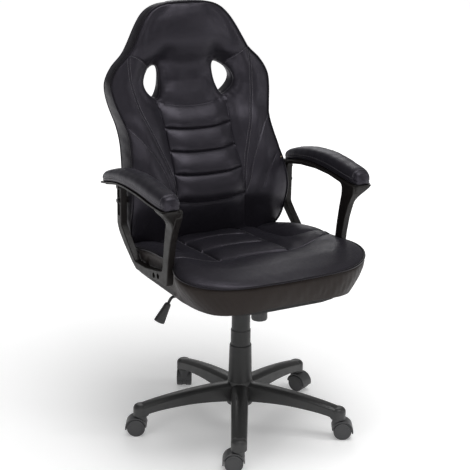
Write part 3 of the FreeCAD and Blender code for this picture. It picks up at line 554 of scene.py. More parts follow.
M_LEATHER = leather("leather_main", (0.0078, 0.0070, 0.0092), (0.0105, 0.0095, 0.0126), 0.40, 1.0, 0.04, 0.0, 0.38)
M_BAND = leather("leather_band", (0.0085, 0.0058, 0.0050), (0.0115, 0.0080, 0.0068), 0.46, 1.0, 0.03, 0.0, 0.25, (1.0, 0.90, 0.85, 1))
# painted shade: the cover leather made darker for the back's side band and rear panel, to cancel the light the left
# fill throws on that side
M_BACK_BAND_PAINTED_SHADE = leather("leather_back_band_painted_shade", (0.0062, 0.0054, 0.0066), (0.0088, 0.0078, 0.0096), 0.46, 1.0, 0.03, 0.0, 0.27)
M_PAD = leather("leather_pad", (0.0085, 0.0078, 0.0100), (0.0118, 0.0108, 0.0138), 0.40, 0.9, 0.05, 0.0, 0.38)
# piping welt much darker than the cover leather: partly its own near-black colour, partly painted shade standing in for
# the shadow along the seam
M_PIPE_PAINTED_SHADE = leather("leather_piping_painted_shade", (0.0028, 0.0025, 0.0032), (0.0042, 0.0038, 0.0048), 0.36, 0.5, 0.0, 0.0, 0.26)
M_THREAD = fabric("thread", (0.085, 0.080, 0.095), 0.6)
M_BACKING = fabric("woven_backing", (0.012, 0.012, 0.0125))
M_ARM = plastic("arm_nylon", (0.0078, 0.0064, 0.0060), 0.42, 0.5, 0.24, 0.12)
M_BASE = plastic("base_nylon", (0.0290, 0.0290, 0.0292), 0.37, 0.4, 0.46, 0.12)
M_COVER = plastic("cover_nylon", (0.0150, 0.0150, 0.0153), 0.40, 0.35, 0.36, 0.12)
M_HOOD = plastic("caster_hood", (0.0500, 0.0500, 0.0520), 0.42, 0.35, 0.5, 0.12)
M_WHEEL = plastic("caster_wheel", (0.0420, 0.0420, 0.0440), 0.40, 0.3, 0.5, 0.15)
M_GRIP = plastic("grip", (0.0100, 0.0100, 0.0105), 0.40, 0.3, 0.5, 0.15)
M_KNOB = plastic("knob", (0.0280, 0.0280, 0.0295), 0.45, 0.4, 0.5, 0.15)
M_BUSH = plastic("bushing", (0.10, 0.10, 0.10), 0.5, 0.3)
M_BLACKSTEEL = metal("black_steel", (0.016, 0.016, 0.017), 0.38, 0.4)
M_CHAMBER = metal("black_tube", (0.012, 0.012, 0.013), 0.25, 0.6)
M_ZINC = metal("zinc_steel", (0.50, 0.50, 0.52), 0.30, 1.0)
M_CHROME = metal("ground_steel", (0.60, 0.60, 0.62), 0.15, 1.0)
M_WOOD = wood("plywood")

# ------------------------------------------------------------------ backrest
BZ = [506, 530, 570, 610, 650, 690, 730, 770, 810, 850, 890, 930, 970, 1000, 1030, 1060, 1090, 1110, 1124, 1133, 1137.5]
BX = [226, 238, 242.5, 244, 242, 236.5, 229.5, 223.5, 221.5, 232, 242.5, 244.7, 223, 191, 170, 154, 136, 119.5, 101, 78, 50]
BF = [207, 199.7, 187.5, 174.5, 174.5, 185, 203, 226, 248.5, 274, 293, 308.4, 318, 318.5, 320.6, 327, 335, 340.5, 343.5, 346, 349]
BS = [62, 70, 72, 79, 83, 83, 85, 85, 92, 82, 68, 53, 46, 50, 54, 51, 47, 44, 40, 35, 28]
BC = [-2, -4, -4, -2, 1, 4, 10, 12, 9, 10, 16, 22, 16, 4, -8, -14, -14, -12, -8, -5, -1]
BV = [0, 0, 3, 8, 10, 13, 21, 22, 19, 21, 28, 36, 34, 12, -4, -10, -11, -9, -6, -4, -1]
HOLE = [(102, 877), (121, 887), (137, 905), (141, 925), (131, 945), (112, 960), (94, 966), (86, 955), (85, 930), (89, 900)]

SEAM_HEAD = [(187, 1011), (162, 998), (139, 982), (124, 967), (116, 957)]
SEAM_BOLSTER = [(186, 1010), (189, 978), (188.5, 935), (177, 868), (157, 807), (134, 745), (119, 700), (111, 660), (108, 617)]
SEAM_OUTER = [(223, 824), (197, 795), (171, 760), (149, 724), (134, 690), (123, 652), (110, 615)]
SEAM_HIP = [(231, 726), (203, 702), (180, 670), (166, 634)]
SEAM_SIDE = [(104, 878), (107, 862), (103, 806), (102.5, 745), (105, 688), (108, 612)]
SEAM_LOW = [(108, 611), (113, 570), (121, 515)]
ARCS = [(870, 13.5, 108), (805, 7, 103), (745, 6, 102.5), (687.5, 6.5, 105), (613, 10, 108)]


def arc_z(k, x):
    z, sag, w = ARCS[k]
    return z - sag * (1 - np.clip(np.abs(x) / w, 0, 1) ** 2)


def both(s):
    s = np.asarray(s, float)
    return [s, s * [-1, 1]]


def back_base(x, z):
    X = sm(z, BZ, BX)
    yf = sm(z, BZ, BF)
    c = sm(z, BZ, BC)
    v = sm(z, BZ, BV)
    w = ease((z - 960) / 60)
    cr = (-9.0 * np.minimum(1, X / 244 * 1.1)) * (1 - w) + (-3.0) * w
    t = np.abs(x) / X
    V_ = np.stack([c, c + 1, v, 0.4 * v + 0.5 * cr, cr, np.full_like(c, -3.5), np.full_like(c, 1.5)])
    return yf + smv(t, [0, 0.25, 0.44, 0.6, 0.78, 0.93, 1.0], V_)


def rear_base(x, z):
    X = sm(z, BZ, BX)
    yb = sm(z, BZ, BF) + sm(z, BZ, BS)
    t = np.abs(x) / X
    one = np.ones_like(yb)
    V_ = np.stack([5 * one, 4.6 * one, 3 * one, -0.5 * one, -6 * one])
    return yb + smv(t, [0, 0.3, 0.6, 0.93, 1.0], V_)


HOLE_R = spline(HOLE, 3.0, True)
HOLE_L = (HOLE_R * [-1, 1])[::-1].copy()
HOLES = [HOLE_R, HOLE_L]
BACK_SEAMS = []          # (plan points, groove depth, groove width, stitched rows)
for s in both(spline(SEAM_HEAD, 3.0)):
    BACK_SEAMS.append((s, 2.0, 1.9, (3.4,)))
for s in both(spline(SEAM_BOLSTER, 3.0)):
    BACK_SEAMS.append((s, 2.2, 1.9, (-3.4, 3.4)))
for s in both(spline(SEAM_OUTER, 3.0)):
    BACK_SEAMS.append((s, 2.0, 1.8, (3.2,)))
for s in both(spline(SEAM_HIP, 3.0)):
    BACK_SEAMS.append((s, 1.5, 1.7, ()))
for s in both(spline(SEAM_SIDE, 3.0)):
    BACK_SEAMS.append((s, 2.6, 2.2, ()))
for s in both(spline(SEAM_LOW, 3.0)):
    BACK_SEAMS.append((s, 1.4, 1.7, ()))
for k in range(5):
    w = ARCS[k][2] - 0.5
    xs = np.arange(-w, w + 1, 2 * w / 60)
    BACK_SEAMS.append((np.stack([xs, arc_z(k, xs)], 1), 4.2 if 0 < k < 4 else 3.0, 3.2, ()))


def pucker(arc, d, amp=0.35, period=9.0, reach=9.0, ph=0.0):
    """small gathers that run away from a seam"""
    return amp * np.sin(arc * 2 * math.pi / period + 1.7 * np.sin(arc * 0.11 + ph) + ph) * np.exp(-((d / reach) ** 2)) * (1 - np.exp(-((d / 1.6) ** 2)))


def channel_puff(x, z):
    """how far each sewn channel of the middle panel stands out"""
    side = sm(-z, [-878, -862, -806, -745, -688, -612], [104, 107, 103, 102.5, 105, 108])
    out = np.zeros_like(x)
    edge = np.clip((side - np.abs(x)) / 22.0, 0, 1)
    edge = np.sqrt(np.clip(1 - (1 - edge) ** 2, 0, 1))
    amp = [7.5, 8.0, 8.0, 7.5]
    for k in range(4):
        z1, z0 = arc_z(k, x), arc_z(k + 1, x)
        q = (z - z0) / (z1 - z0)
        inr = (q > 0) & (q < 1) & (np.abs(x) < side)
        f = np.clip(1 - np.abs(2 * q - 1) ** 2.3, 0, 1) ** 0.8
        # fullest a little above the lower seam, as foam settles
        f *= 1 + 0.18 * (0.5 - q)
        out = np.where(inr, amp[k] * f * edge, out)
    return out


def back_front(x, z, detail=True):
    x = np.asarray(x, float)
    z = np.asarray(z, float)
    y = back_base(x, z)
    if not detail:
        return y
    p = np.stack([x, z], 1)
    y -= channel_puff(x, z)
    # panels stand a little proud between their seams
    near = np.full(len(x), 60.0)
    for i, (s, dep, wid, rows) in enumerate(BACK_SEAMS):
        m = (x > s[:, 0].min() - 45) & (x < s[:, 0].max() + 45) & (z > s[:, 1].min() - 45) & (z < s[:, 1].max() + 45)
        if not m.any():
            continue
        d, a, sd, L = to_polyline(p[m], s[::2] if len(s) > 8 else s)
        g = dep * np.exp(-((d / wid) ** 2))
        y[m] += g - pucker(a, d, 0.32 if i > 9 else 0.22, 8.5 + (i % 3), 10.0, i * 1.3)
        near[m] = np.minimum(near[m], d)
    y -= 2.4 * (1 - np.exp(-((near / 16.0) ** 2)))
    # roll into the shoulder openings
    for h in HOLES:
        d, a, sd, L = to_polyline(p, h, True)
        R = 8.0
        k = np.clip(d, 0, R)
        y += np.where(d < R, R - np.sqrt(np.clip(R * R - (R - k) ** 2, 0, None)), 0)
        y += -1.8 * np.exp(-(((d - 13.0) / 6.0) ** 2)) + 0.9 * np.exp(-(((d - 22.0) / 4.0) ** 2))
        y -= pucker(a, np.abs(d - 3), 0.45, 11.0, 12.0, 0.4)
    return y


def back_rear(x, z):
    x = np.asarray(x, float)
    z = np.asarray(z, float)
    y = rear_base(x, z)
    p = np.stack([x, z], 1)
    for h in HOLES:
        d = to_polyline(p, h, True)[0]
        R = 6.0
        k = np.clip(d, 0, R)
        y -= np.where(d < R, R - np.sqrt(np.clip(R * R - (R - k) ** 2, 0, None)), 0)
    for s, dep in REAR_SEAMS:
        d, a, sd, L = to_polyline(p, s)
        y -= dep * np.exp(-((d / 2.0) ** 2)) - 0.2 * np.sin(a * 0.7) * np.exp(-((d / 9.0) ** 2))
    return y


REAR_SEAMS = [(resample([(-300, 832), (-120, 838), (0, 840), (120, 838), (300, 832)], 6.0), 1.8)]
zs = np.linspace(506, 1137.5, 260)
right = np.stack([sm(zs, BZ, BX), zs], 1)
top = np.array([(40, 1138.4), (20, 1138.9), (0, 1139.0), (-20, 1138.9), (-40, 1138.4)])
left = right[::-1] * [-1, 1]
bottom = np.array([(-216, 500.5), (-205, 498), (-120, 496.5), (0, 496), (120, 496.5), (205, 498), (216, 500.5)])
OUT = resample(np.vstack([right, top, left, bottom]), 4.5, True)
for _ in range(6):
    OUT = 0.5 * OUT + 0.25 * (np.roll(OUT, 1, 0) + np.roll(OUT, -1, 0))
print("outline", len(OUT))
RO = (0.0, 1.8, 4.0, 7.0, 11.0, 16.0)
RH = (0.0, 0.7, 1.7, 3.0, 4.8, 7.0, 10.0, 14.0, 19.0)


def side_inset(z):
    return z


def build_back():
    pv, pf = cdt_panel(OUT, HOLES, RO, RH, [s for s, d, w, r in BACK_SEAMS], 7.5)
    y = back_front(pv[:, 0], np.clip(pv[:, 1], 496, 1139))
    # the cover turns down to the piping at its border
    d = to_polyline(pv, OUT, True)[0]
    y += 2.2 * np.exp(-d / 2.6)
    V3 = np.stack([pv[:, 0], y, pv[:, 1]], 1)
    flat = [(f[0], f[2], f[1]) if np.cross(pv[f[1]] - pv[f[0]], pv[f[2]] - pv[f[0]]) < 0 else f for f in pf]
    # seen from -Y with +X right and +Z up, counter-clockwise in (x, z) faces -Y
    return V3, flat, d


V3, F3, D3 = build_back()
print("front panel", len(V3), len(F3))


def strip_rings(rings, closed=True):
    """faces between successive rings of equal length"""
    n = len(rings[0])
    v = np.vstack(rings)
    f = []
    for k in range(len(rings) - 1):
        for i in range(n if closed else n - 1):
            j = (i + 1) % n
            f.append((k * n + i, k * n + j, (k + 1) * n + j, (k + 1) * n + i))
    return v, f


def weld(name, parts, mats, dist=0.00005, sharp=55):
    """several panels sewn into one closed cover; each part keeps its own material"""
    bm = bmesh.new()
    for (v, f), mi in parts:
        vs = [bm.verts.new(tuple(np.asarray(q) * MM)) for q in v]
        for q in f:
            try:
                fc = bm.faces.new([vs[i] for i in q])
                fc.material_index = mi
                fc.smooth = True
            except ValueError:
                pass
    bmesh.ops.remove_doubles(bm, verts=bm.verts, dist=dist)
    # close any slit left where a seam meets an edge
    slit = [e for e in bm.edges if e.is_boundary]
    if slit:
        print(name, "slits", len(slit), [tuple(round(c / MM, 2) for c in e.verts[0].co) for e in slit[:6]])
        bmesh.ops.holes_fill(bm, edges=slit, sides=0)
        for fc in bm.faces:
            fc.smooth = True
    bmesh.ops.recalc_face_normals(bm, faces=bm.faces)
    me = bpy.data.meshes.new(name)
    bm.to_mesh(me)
    print(name, "verts", len(bm.verts), "faces", len(bm.faces), "open edges", sum(1 for e in bm.edges if e.is_boundary))
    bm.free()
    for m in mats:
        me.materials.append(m)
    me.set_sharp_from_angle(angle=math.radians(sharp))
    o = bpy.data.objects.new(name, me)
    scene.collection.objects.link(o)
    return o


def cloth_relax(name, verts, faces, free, cap, pressure, spare, steps=20):
    """inflate a sewn panel a little as real cloth, held at its seams; returns the points moved by at most cap"""
    me = bpy.data.meshes.new(name)
    me.from_pydata([tuple(q * MM) for q in verts], [], [tuple(q) for q in faces])
    o = bpy.data.objects.new(name, me)
    scene.collection.objects.link(o)
    g = o.vertex_groups.new(name="held")
    for i, w in enumerate(free):
        g.add([i], float(1 - w), "REPLACE")
    m = o.modifiers.new("cloth", "CLOTH")
    c = m.settings
    c.quality = 4
    c.mass = 0.25
    c.tension_stiffness = 20
    c.compression_stiffness = 20
    c.shear_stiffness = 8
    c.bending_stiffness = 0.6
    c.tension_damping = 12
    c.compression_damping = 12
    c.air_damping = 2
    c.vertex_group_mass = "held"
    c.shrink_min = -spare
    c.use_pressure = True
    c.uniform_pressure_force = pressure
    c.effector_weights.gravity = 0
    m.collision_settings.use_collision = False
    m.point_cache.frame_start = 1
    m.point_cache.frame_end = steps
    for k in range(1, steps + 1):
        scene.frame_set(k)
    dg = bpy.context.evaluated_depsgraph_get()
    ev = o.evaluated_get(dg)
    out = np.empty(len(verts) * 3)
    ev.data.vertices.foreach_get("co", out)
    out = out.reshape(-1, 3) / MM
    bpy.data.objects.remove(o)
    bpy.data.meshes.remove(me)
    scene.frame_set(1)
    d = out - verts
    # calm the finest ripples, then limit how far a point may go
    e = set()
    for q in faces:
        for i in range(len(q)):
            a, b_ = q[i], q[(i + 1) % len(q)]
            e.add((min(a, b_), max(a, b_)))
    e = np.array(sorted(e))
    deg = np.bincount(e.ravel(), minlength=len(verts)).astype(float)
    for _ in range(3):
        acc = np.zeros_like(d)
        np.add.at(acc, e[:, 0], d[e[:, 1]])
        np.add.at(acc, e[:, 1], d[e[:, 0]])
        d = 0.5 * d + 0.5 * acc / np.maximum(deg, 1)[:, None]
    d *= np.asarray(free)[:, None]
    L = np.linalg.norm(d, axis=1)
    print(name, "cloth moved", round(float(L.max()), 2), "mm at most,", round(float(L.mean()), 2), "on average")
    return verts + d * np.minimum(1, cap / np.maximum(L, 1e-9))[:, None]


def free_weight(p, lines, a=4.0, b=13.0):
    """0 on the seams and the edge, 1 in the middle of a panel"""
    near = np.full(len(p), 1e3)
    for line, closed in lines:
        near = np.minimum(near, to_polyline(p, line, closed)[0])
    t = np.clip((near - a) / (b - a), 0, 1)
    return t * t * (3 - 2 * t)


lines = [(OUT, True)] + [(h, True) for h in HOLES] + [(q[0], False) for q in BACK_SEAMS]
V3 = cloth_relax("front_panel", V3, F3, free_weight(V3[:, [0, 2]], lines, 4.0, 16.0), 2.2, 2.0, 0.005)

NO = normals2(OUT)
oz = np.clip(OUT[:, 1], 506, 1137.5)
y_front = back_front(OUT[:, 0], np.clip(OUT[:, 1], 496, 1139)) + 2.2
y_rear = rear_base(OUT[:, 0], np.clip(OUT[:, 1], 496, 1139))
# arc length round the outline, for soft creases in the side band
arcl = np.r_[0, np.cumsum(np.linalg.norm(np.diff(OUT, axis=0), axis=1))]
band = []
for w in (0.0, 0.03, 0.08, 0.16, 0.27, 0.4, 0.52, 0.64, 0.76, 0.86, 0.93, 0.97, 1.0):
    off = 3.2 * math.sin(math.pi * min(1, w * 1.02)) ** 0.7 if 0 < w < 1 else 0.0
    off -= 2.2 * math.exp(-((w - 0.02) / 0.03) ** 2) if w > 0 else 0
    crease = 0.35 * np.sin(arcl * 0.19 + 3 * math.sin(w * 3)) * math.sin(math.pi * w) + 0.3 * np.sin(arcl * 0.071 + w * 5) * math.sin(math.pi * w)
    yy = y_front + (y_rear - y_front) * w
    q = OUT + NO * (off + crease)[:, None]
    band.append(np.stack([q[:, 0], yy, q[:, 1]], 1))
band_v, band_f = strip_rings(band)

pv, pf = cdt_panel(OUT, HOLES, (0.0, 1.5, 4.0, 8.0, 13.0), (0.0, 0.8, 2.0, 3.6, 6.0, 9.0), [REAR_SEAMS[0][0]], 10.0)
RV = np.stack([pv[:, 0], back_rear(pv[:, 0], np.clip(pv[:, 1], 496, 1139)), pv[:, 1]], 1)

walls = []
for h in HOLES:
    nh = normals2(h)
    yf = back_front(h[:, 0], h[:, 1])
    yr = back_rear(h[:, 0], h[:, 1])
    rings = []
    aa = np.r_[0, np.cumsum(np.linalg.norm(np.diff(h, axis=0), axis=1))]
    for w, o_ in ((0.0, 0.0), (0.06, 1.5), (0.13, 1.7), (0.2, 0.2), (0.32, -0.7), (0.5, -1.0), (0.7, -0.8), (0.88, -0.2), (1.0, 0.0)):
        cr_ = 0.25 * np.sin(aa * 0.9) * math.sin(math.pi * w)
        q = h + nh * (o_ + cr_)[:, None]
        rings.append(np.stack([q[:, 0], yf + (yr - yf) * w, q[:, 1]], 1))
    walls.append(strip_rings(rings))

# the side band and rear panel take the darker painted-shade copy of the cover leather
back = weld("back_upholstery", [((V3, F3), 0), ((band_v, band_f), 1), ((RV, pf), 1), (walls[0], 0), (walls[1], 0)], [M_LEATHER, M_BACK_BAND_PAINTED_SHADE], dist=0.0004)


def back_normal(x, z, e=1.5):
    gx = (back_front(x + e, z) - back_front(x - e, z)) / (2 * e)
    gz = (back_front(x, z + e) - back_front(x, z - e)) / (2 * e)
    n = np.stack([gx, -np.ones_like(gx), gz], 1)
    return n / np.linalg.norm(n, axis=1)[:, None]


parts = []
for s, dep, wid, rows in BACK_SEAMS:
    if not rows:
        continue
    t = np.gradient(s, axis=0)
    t /= np.linalg.norm(t, axis=1)[:, None]
    n2 = np.stack([-t[:, 1], t[:, 0]], 1)
    for rr in rows:
        sgn = 1 if s[:, 0].mean() > 0 else -1
        q = s + n2 * rr * sgn
        ok = inside(q, OUT) & (to_polyline(q, OUT, True)[0] > 3)
        for h in HOLES:
            ok &= ~inside(q, h) & (to_polyline(q, h, True)[0] > 4)
        q = q[ok]
        if len(q) < 6:
            continue
        p3 = np.stack([q[:, 0], back_front(q[:, 0], q[:, 1]), q[:, 1]], 1)
        parts += thread(p3, back_normal(q[:, 0], q[:, 1]))
back_thread = join_parts("back_stitching", parts)
back_thread.data.materials.append(M_THREAD)

# piping round the front edge: a round welt with its sewn tape lip
q = OUT + NO * 1.2
pip = np.stack([q[:, 0], y_front - 0.9, q[:, 1]], 1)
v, f = tube("p", pip * MM, (2.9 + 0.10 * np.sin(arcl * 0.8)) * MM, 14, True)
back_piping = add_object("back_piping", v, f)
back_piping.data.materials.append(M_PIPE_PAINTED_SHADE)
# finer welt where the rear panel is sewn in
q = OUT - NO * 0.2
pip2 = np.stack([q[:, 0], y_rear + 0.4, q[:, 1]], 1)
v, f = tube("p", pip2 * MM, 1.9 * MM, 10, True)
back_rear_piping = add_object("back_rear_piping", v, f)
back_rear_piping.data.materials.append(M_PIPE_PAINTED_SHADE)

# ------------------------------------------------------------------ seat
SEAT_Y = [-283, -279, -268, -248, -220, -190, -165, -140, -118, -98, -60, 0, 60, 120, 170, 205, 228, 241, 246]
SEAT_X = [90, 128, 172, 211, 246, 267, 274, 272, 263, 251, 248.4, 248.4, 248.6, 248.4, 246, 236, 215, 180, 140]
SEAT_ZP = [517, 516, 515, 515, 517, 522, 526.5, 530.5, 533.5, 535.5, 536.5, 533.5, 527, 517, 506, 499, 495, 493, 492]
BOT_Y = [-274, -272, -264, -249, -225, -196, -172, -146, -122, -102, -62, 0, 60, 118, 166, 198, 219, 231, 237]
BOT_X = [80, 112, 148, 180, 205, 220, 227, 231, 233, 234, 234, 234, 234, 234, 232, 222, 202, 168, 128]
TOP_T = [0.0, 0.42, 0.58, 0.72, 0.86, 0.95, 1.0]
TOP_H = [[0, 1, 4, 8, 11, 11, 8, 2, -6, -13, -20, -21, -20, -14, -5, 0, 0, 0, 0],
         [0, 1, 4, 8, 11, 11, 8, 2, -6, -13, -20, -21, -20, -14, -5, 0, 0, 0, 0],
         [0, 1, 4, 8, 11, 11, 9, 5, -1, -7, -13, -15, -14, -9, -2, 1, 1, 0, 0],
         [0, 1, 4, 8, 10.5, 11, 10, 8, 5, 2, -2, -3, -3, -1, 1, 2, 1, 0.5, 0],
         [0, 1, 3.5, 6.5, 8.5, 9, 9, 8.5, 8, 7.5, 7, 7, 7, 6, 5, 3, 1.5, 0.5, 0],
         [0, 0.5, 2.5, 4, 5, 5, 5, 5, 5, 5, 5, 5, 5, 4.5, 3.5, 2, 1, 0.5, 0],
         [0] * 19]
S_ARCS = [(140.6, 26, 102.5), (40.6, 23, 102), (-71, 15, 106)]
S_SIDE = [(98, 205), (101, 172), (102.5, 141), (102, 90), (102, 40), (104, -20), (106, -71)]
S_CREASE = [(106, -71), (136, -76), (166, -76), (192, -72), (216, -66), (237, -58), (249, -50)]
S_VALLEY = [(157, 200), (150, 150), (152, 115), (154, 86), (158, 44), (164, 30), (173, 18), (188, 5), (207, -6), (238, -14)]


def s_arc_y(k, x):
    y, b_, w = S_ARCS[k]
    return y + b_ * (1 - np.clip(np.abs(x) / w, 0, 1) ** 2)


SEAT_SEAMS = []
for k in range(3):
    w = S_ARCS[k][2] - 0.5
    xs = np.arange(-w, w + 1, 2 * w / 56)
    SEAT_SEAMS.append((np.stack([xs, s_arc_y(k, xs)], 1), 4.0, 3.2, ()))
for s in both(spline(S_SIDE, 3.0)):
    SEAT_SEAMS.append((s, 2.8, 2.2, (3.4,)))
for s in both(spline(S_CREASE, 3.0)):
    SEAT_SEAMS.append((s, 2.6, 2.2, (-3.4,)))
for s in both(spline(S_VALLEY, 3.0)):
    SEAT_SEAMS.append((s, 3.4, 5.5, ()))


def seat_base(x, y):
    X = sm(y, SEAT_Y, SEAT_X)
    zp = sm(y, SEAT_Y, SEAT_ZP)
    t = np.abs(x) / X
    V_ = np.stack([zp + sm(y, SEAT_Y, h) for h in TOP_H])
    return smv(t, TOP_T, V_)


def seat_top(x, y):
    x = np.asarray(x, float)
    y = np.asarray(y, float)
    z = seat_base(x, y)
    p = np.stack([x, y], 1)
    side = sm(-y, [-205, -172, -141, -90, -40, 20, 71], [98, 101, 102.5, 102, 102, 104, 106])
    edge = np.clip((side - np.abs(x)) / 24.0, 0, 1)
    edge = np.sqrt(np.clip(1 - (1 - edge) ** 2, 0, 1))
    for k, amp in ((0, 8.0), (1, 8.0)):
        y1, y0 = s_arc_y(k, x), s_arc_y(k + 1, x)
        q_ = (y - y0) / (y1 - y0)
        inr = (q_ > 0) & (q_ < 1) & (np.abs(x) < side)
        f_ = np.clip(1 - np.abs(2 * q_ - 1) ** 2.4, 0, 1) ** 0.8
        z = z + np.where(inr, amp * f_ * edge, 0)
    q_ = (y - s_arc_y(0, x)) / 62.0
    z = z + np.where((q_ > 0) & (q_ < 1) & (np.abs(x) < side), 5.0 * np.clip(1 - np.abs(2 * q_ - 1) ** 2.2, 0, 1) ** 0.8 * edge, 0)
    near = np.full(len(x), 60.0)
    for i, (s, dep, wid, rows) in enumerate(SEAT_SEAMS):
        d, a, sd, L = to_polyline(p, s[::2] if len(s) > 8 else s)
        z -= dep * np.exp(-((d / wid) ** 2))
        z += pucker(a, d, 0.35, 9.0 + (i % 3), 11.0, i * 0.9)
        near = np.minimum(near, d)
    z += 2.6 * (1 - np.exp(-((near / 18.0) ** 2)))
    return z


ys = np.linspace(-283, 246, 220)
right = np.stack([sm(ys, SEAT_Y, SEAT_X), ys], 1)
left = right[::-1] * [-1, 1]
cap_rear = np.array([(110, 248.5), (60, 250), (0, 250.5), (-60, 250), (-110, 248.5)])
cap_front = np.array([(-60, -285.2), (-30, -286), (0, -286.2), (30, -286), (60, -285.2)])
SO = resample(np.vstack([right, cap_rear, left, cap_front]), 4.5, True)
for _ in range(8):
    SO = 0.5 * SO + 0.25 * (np.roll(SO, 1, 0) + np.roll(SO, -1, 0))
SN = normals2(SO)


def clampy(y):
    return np.clip(y, -283, 246)


pv, pf = cdt_panel(SO, [], (0.0, 1.8, 4.0, 7.0, 11.0, 16.0), (0.0,), [s for s, d, w, r_ in SEAT_SEAMS], 7.5)
zt = seat_top(pv[:, 0], clampy(pv[:, 1]))
dd = to_polyline(pv, SO, True)[0]
zt -= 3.0 * np.exp(-dd / 3.2)
ST = np.stack([pv[:, 0], pv[:, 1], zt], 1)
ST = cloth_relax("seat_panel", ST, pf, free_weight(pv, [(SO, True)] + [(q[0], False) for q in SEAT_SEAMS], 4.0, 16.0), 2.2, 2.0, 0.005)
top_faces = pf
z_edge = seat_top(SO[:, 0], clampy(SO[:, 1])) - 3.0

# bottom outline that matches the piping outline point for point
byt = np.interp(clampy(SO[:, 1]), SEAT_Y, BOT_Y)
bxt = sm(byt, BOT_Y, BOT_X)
topx = sm(clampy(SO[:, 1]), SEAT_Y, SEAT_X)
BOTP = np.stack([SO[:, 0] * bxt / topx, byt], 1)
for _ in range(6):
    BOTP = 0.5 * BOTP + 0.25 * (np.roll(BOTP, 1, 0) + np.roll(BOTP, -1, 0))
zb = np.interp(clampy(SO[:, 1]), [-283, -279, -268, -248, -220, 170, 205, 228, 241, 246], [447, 444, 441, 438, 436, 436, 438, 441, 444, 447])
arcs_ = np.r_[0, np.cumsum(np.linalg.norm(np.diff(SO, axis=0), axis=1))]
rings = []
for w in (0.0, 0.03, 0.08, 0.15, 0.25, 0.36, 0.48, 0.6, 0.72, 0.82, 0.9, 0.95, 0.985, 1.0):
    # the band stands nearly upright below the piping, then turns in under the seat
    k = float(sm(w, [0, 0.15, 0.3, 0.6, 0.85, 0.95, 1.0], [0, 0.0, 0.13, 0.50, 0.83, 0.96, 1.0]))
    xy = SO + (BOTP - SO) * k
    off = 4.6 * math.sin(math.pi * w) ** 0.8 if 0 < w < 1 else 0.0
    if w > 0:
        off -= 2.2 * math.exp(-((w - 0.02) / 0.035) ** 2)
    cr_ = (0.5 * np.sin(arcs_ * 0.12 + 4 * w) + 0.35 * np.sin(arcs_ * 0.31 - 7 * w)) * math.sin(math.pi * w)
    # limit the bulge beside the armrests
    arm = (np.abs(SO[:, 1] + 10) < 85) & (np.abs(SO[:, 0]) > 230)
    o_ = np.where(arm, np.minimum(off, 1.2), off) + cr_ * np.where(arm, 0.4, 1.0)
    q = xy + SN * o_[:, None]
    rings.append(np.stack([q[:, 0], q[:, 1], z_edge + (zb - z_edge) * w], 1))
under = []
for kk, dz in ((0.985, -0.8), (0.955, -1.2), (0.92, -1.2)):
    q = BOTP * kk
    under.append(np.stack([q[:, 0], q[:, 1], zb + dz], 1))
rings += under
sb_v, sb_f = strip_rings(rings)
inner = under[-1]
bv, bf_ = cdt_panel(BOTP * 0.92, [], (0.0, 6.0, 14.0), (0.0,), [], 16.0)
rim = BOTP * 0.92
k_ = np.argmin(((bv[:, None, :] - rim[None]) ** 2).sum(2), axis=1)
d_rim = to_polyline(bv, rim, True)[0]
sink = np.clip(d_rim / 45.0, 0, 1)
sink = sink * sink * (3 - 2 * sink)
zu = (zb[k_] - 1.2) * (1 - sink) + 434.8 * sink
und = np.stack([bv[:, 0], bv[:, 1], zu + 0.6 * np.sin(bv[:, 0] * 0.05) * np.sin(bv[:, 1] * 0.06) * (d_rim > 2)], 1)
seat = weld("seat_upholstery", [((ST, top_faces), 0), ((sb_v, sb_f), 1), ((und, bf_), 2)], [M_LEATHER, M_BAND, M_BACKING])


def seat_normal(x, y, e=1.5):
    gx = (seat_top(x + e, y) - seat_top(x - e, y)) / (2 * e)
    gy = (seat_top(x, y + e) - seat_top(x, y - e)) / (2 * e)
    n = np.stack([-gx, -gy, np.ones_like(gx)], 1)
    return n / np.linalg.norm(n, axis=1)[:, None]


parts = []
for s, dep, wid, rows in SEAT_SEAMS:
    if not rows:
        continue
    t = np.gradient(s, axis=0)
    t /= np.linalg.norm(t, axis=1)[:, None]
    n2 = np.stack([-t[:, 1], t[:, 0]], 1)
    for rr in rows:
        sgn = 1 if s[:, 0].mean() > 0 else -1
        q = s + n2 * rr * sgn
        ok = inside(q, SO) & (to_polyline(q, SO, True)[0] > 3)
        q = q[ok]
        if len(q) < 6:
            continue
        p3 = np.stack([q[:, 0], q[:, 1], seat_top(q[:, 0], q[:, 1])], 1)
        parts += thread(p3, seat_normal(q[:, 0], q[:, 1]))
seat_thread = join_parts("seat_stitching", parts)
seat_thread.data.materials.append(M_THREAD)
q = SO + SN * 1.3
pip = np.stack([q[:, 0], q[:, 1], z_edge + 0.9], 1)
v, f = tube("p", pip * MM, (3.0 + 0.1 * np.sin(arcs_ * 0.8)) * MM, 14, True)
seat_piping = add_object("seat_piping", v, f)
seat_piping.data.materials.append(M_PIPE_PAINTED_SHADE)
# lower welt where the dust cover is sewn on
q = BOTP * 0.975
pip = np.stack([q[:, 0], q[:, 1], zb - 0.4], 1)
v, f = tube("p", pip * MM, 1.6 * MM, 8, True)
seat_lower_welt = add_object("seat_lower_welt", v, f)
seat_lower_welt.data.materials.append(M_PIPE_PAINTED_SHADE)

# ------------------------------------------------------------------ arm pads
LIP_Y = [-158, -150, -130, -90, -40, 0, 60, 100, 130, 170, 210, 235, 252]
LIP_Z = [697.5, 697.5, 698.5, 701.5, 707, 710, 711.5, 709.5, 706, 698.5, 689.5, 684, 680.5]
PAD_Y = [-153, -149, -140, -120, -85, -40, 0, 40, 80, 115, 150, 180, 205, 222, 232, 236]
PAD_H = [23.5, 30, 35, 40.5, 42, 42.5, 42.5, 41, 38.5, 37, 35.5, 33.5, 31, 27, 21, 15]
PAD_W = [15, 20, 23.5, 26, 27.2, 27.8, 28, 28, 28, 28, 27.6, 27, 25.5, 22.5, 18, 12]
PAD_C = [284, 284, 284, 284.5, 285.5, 286.5, 287, 287.5, 288, 288, 288, 288, 288, 288, 288, 288]


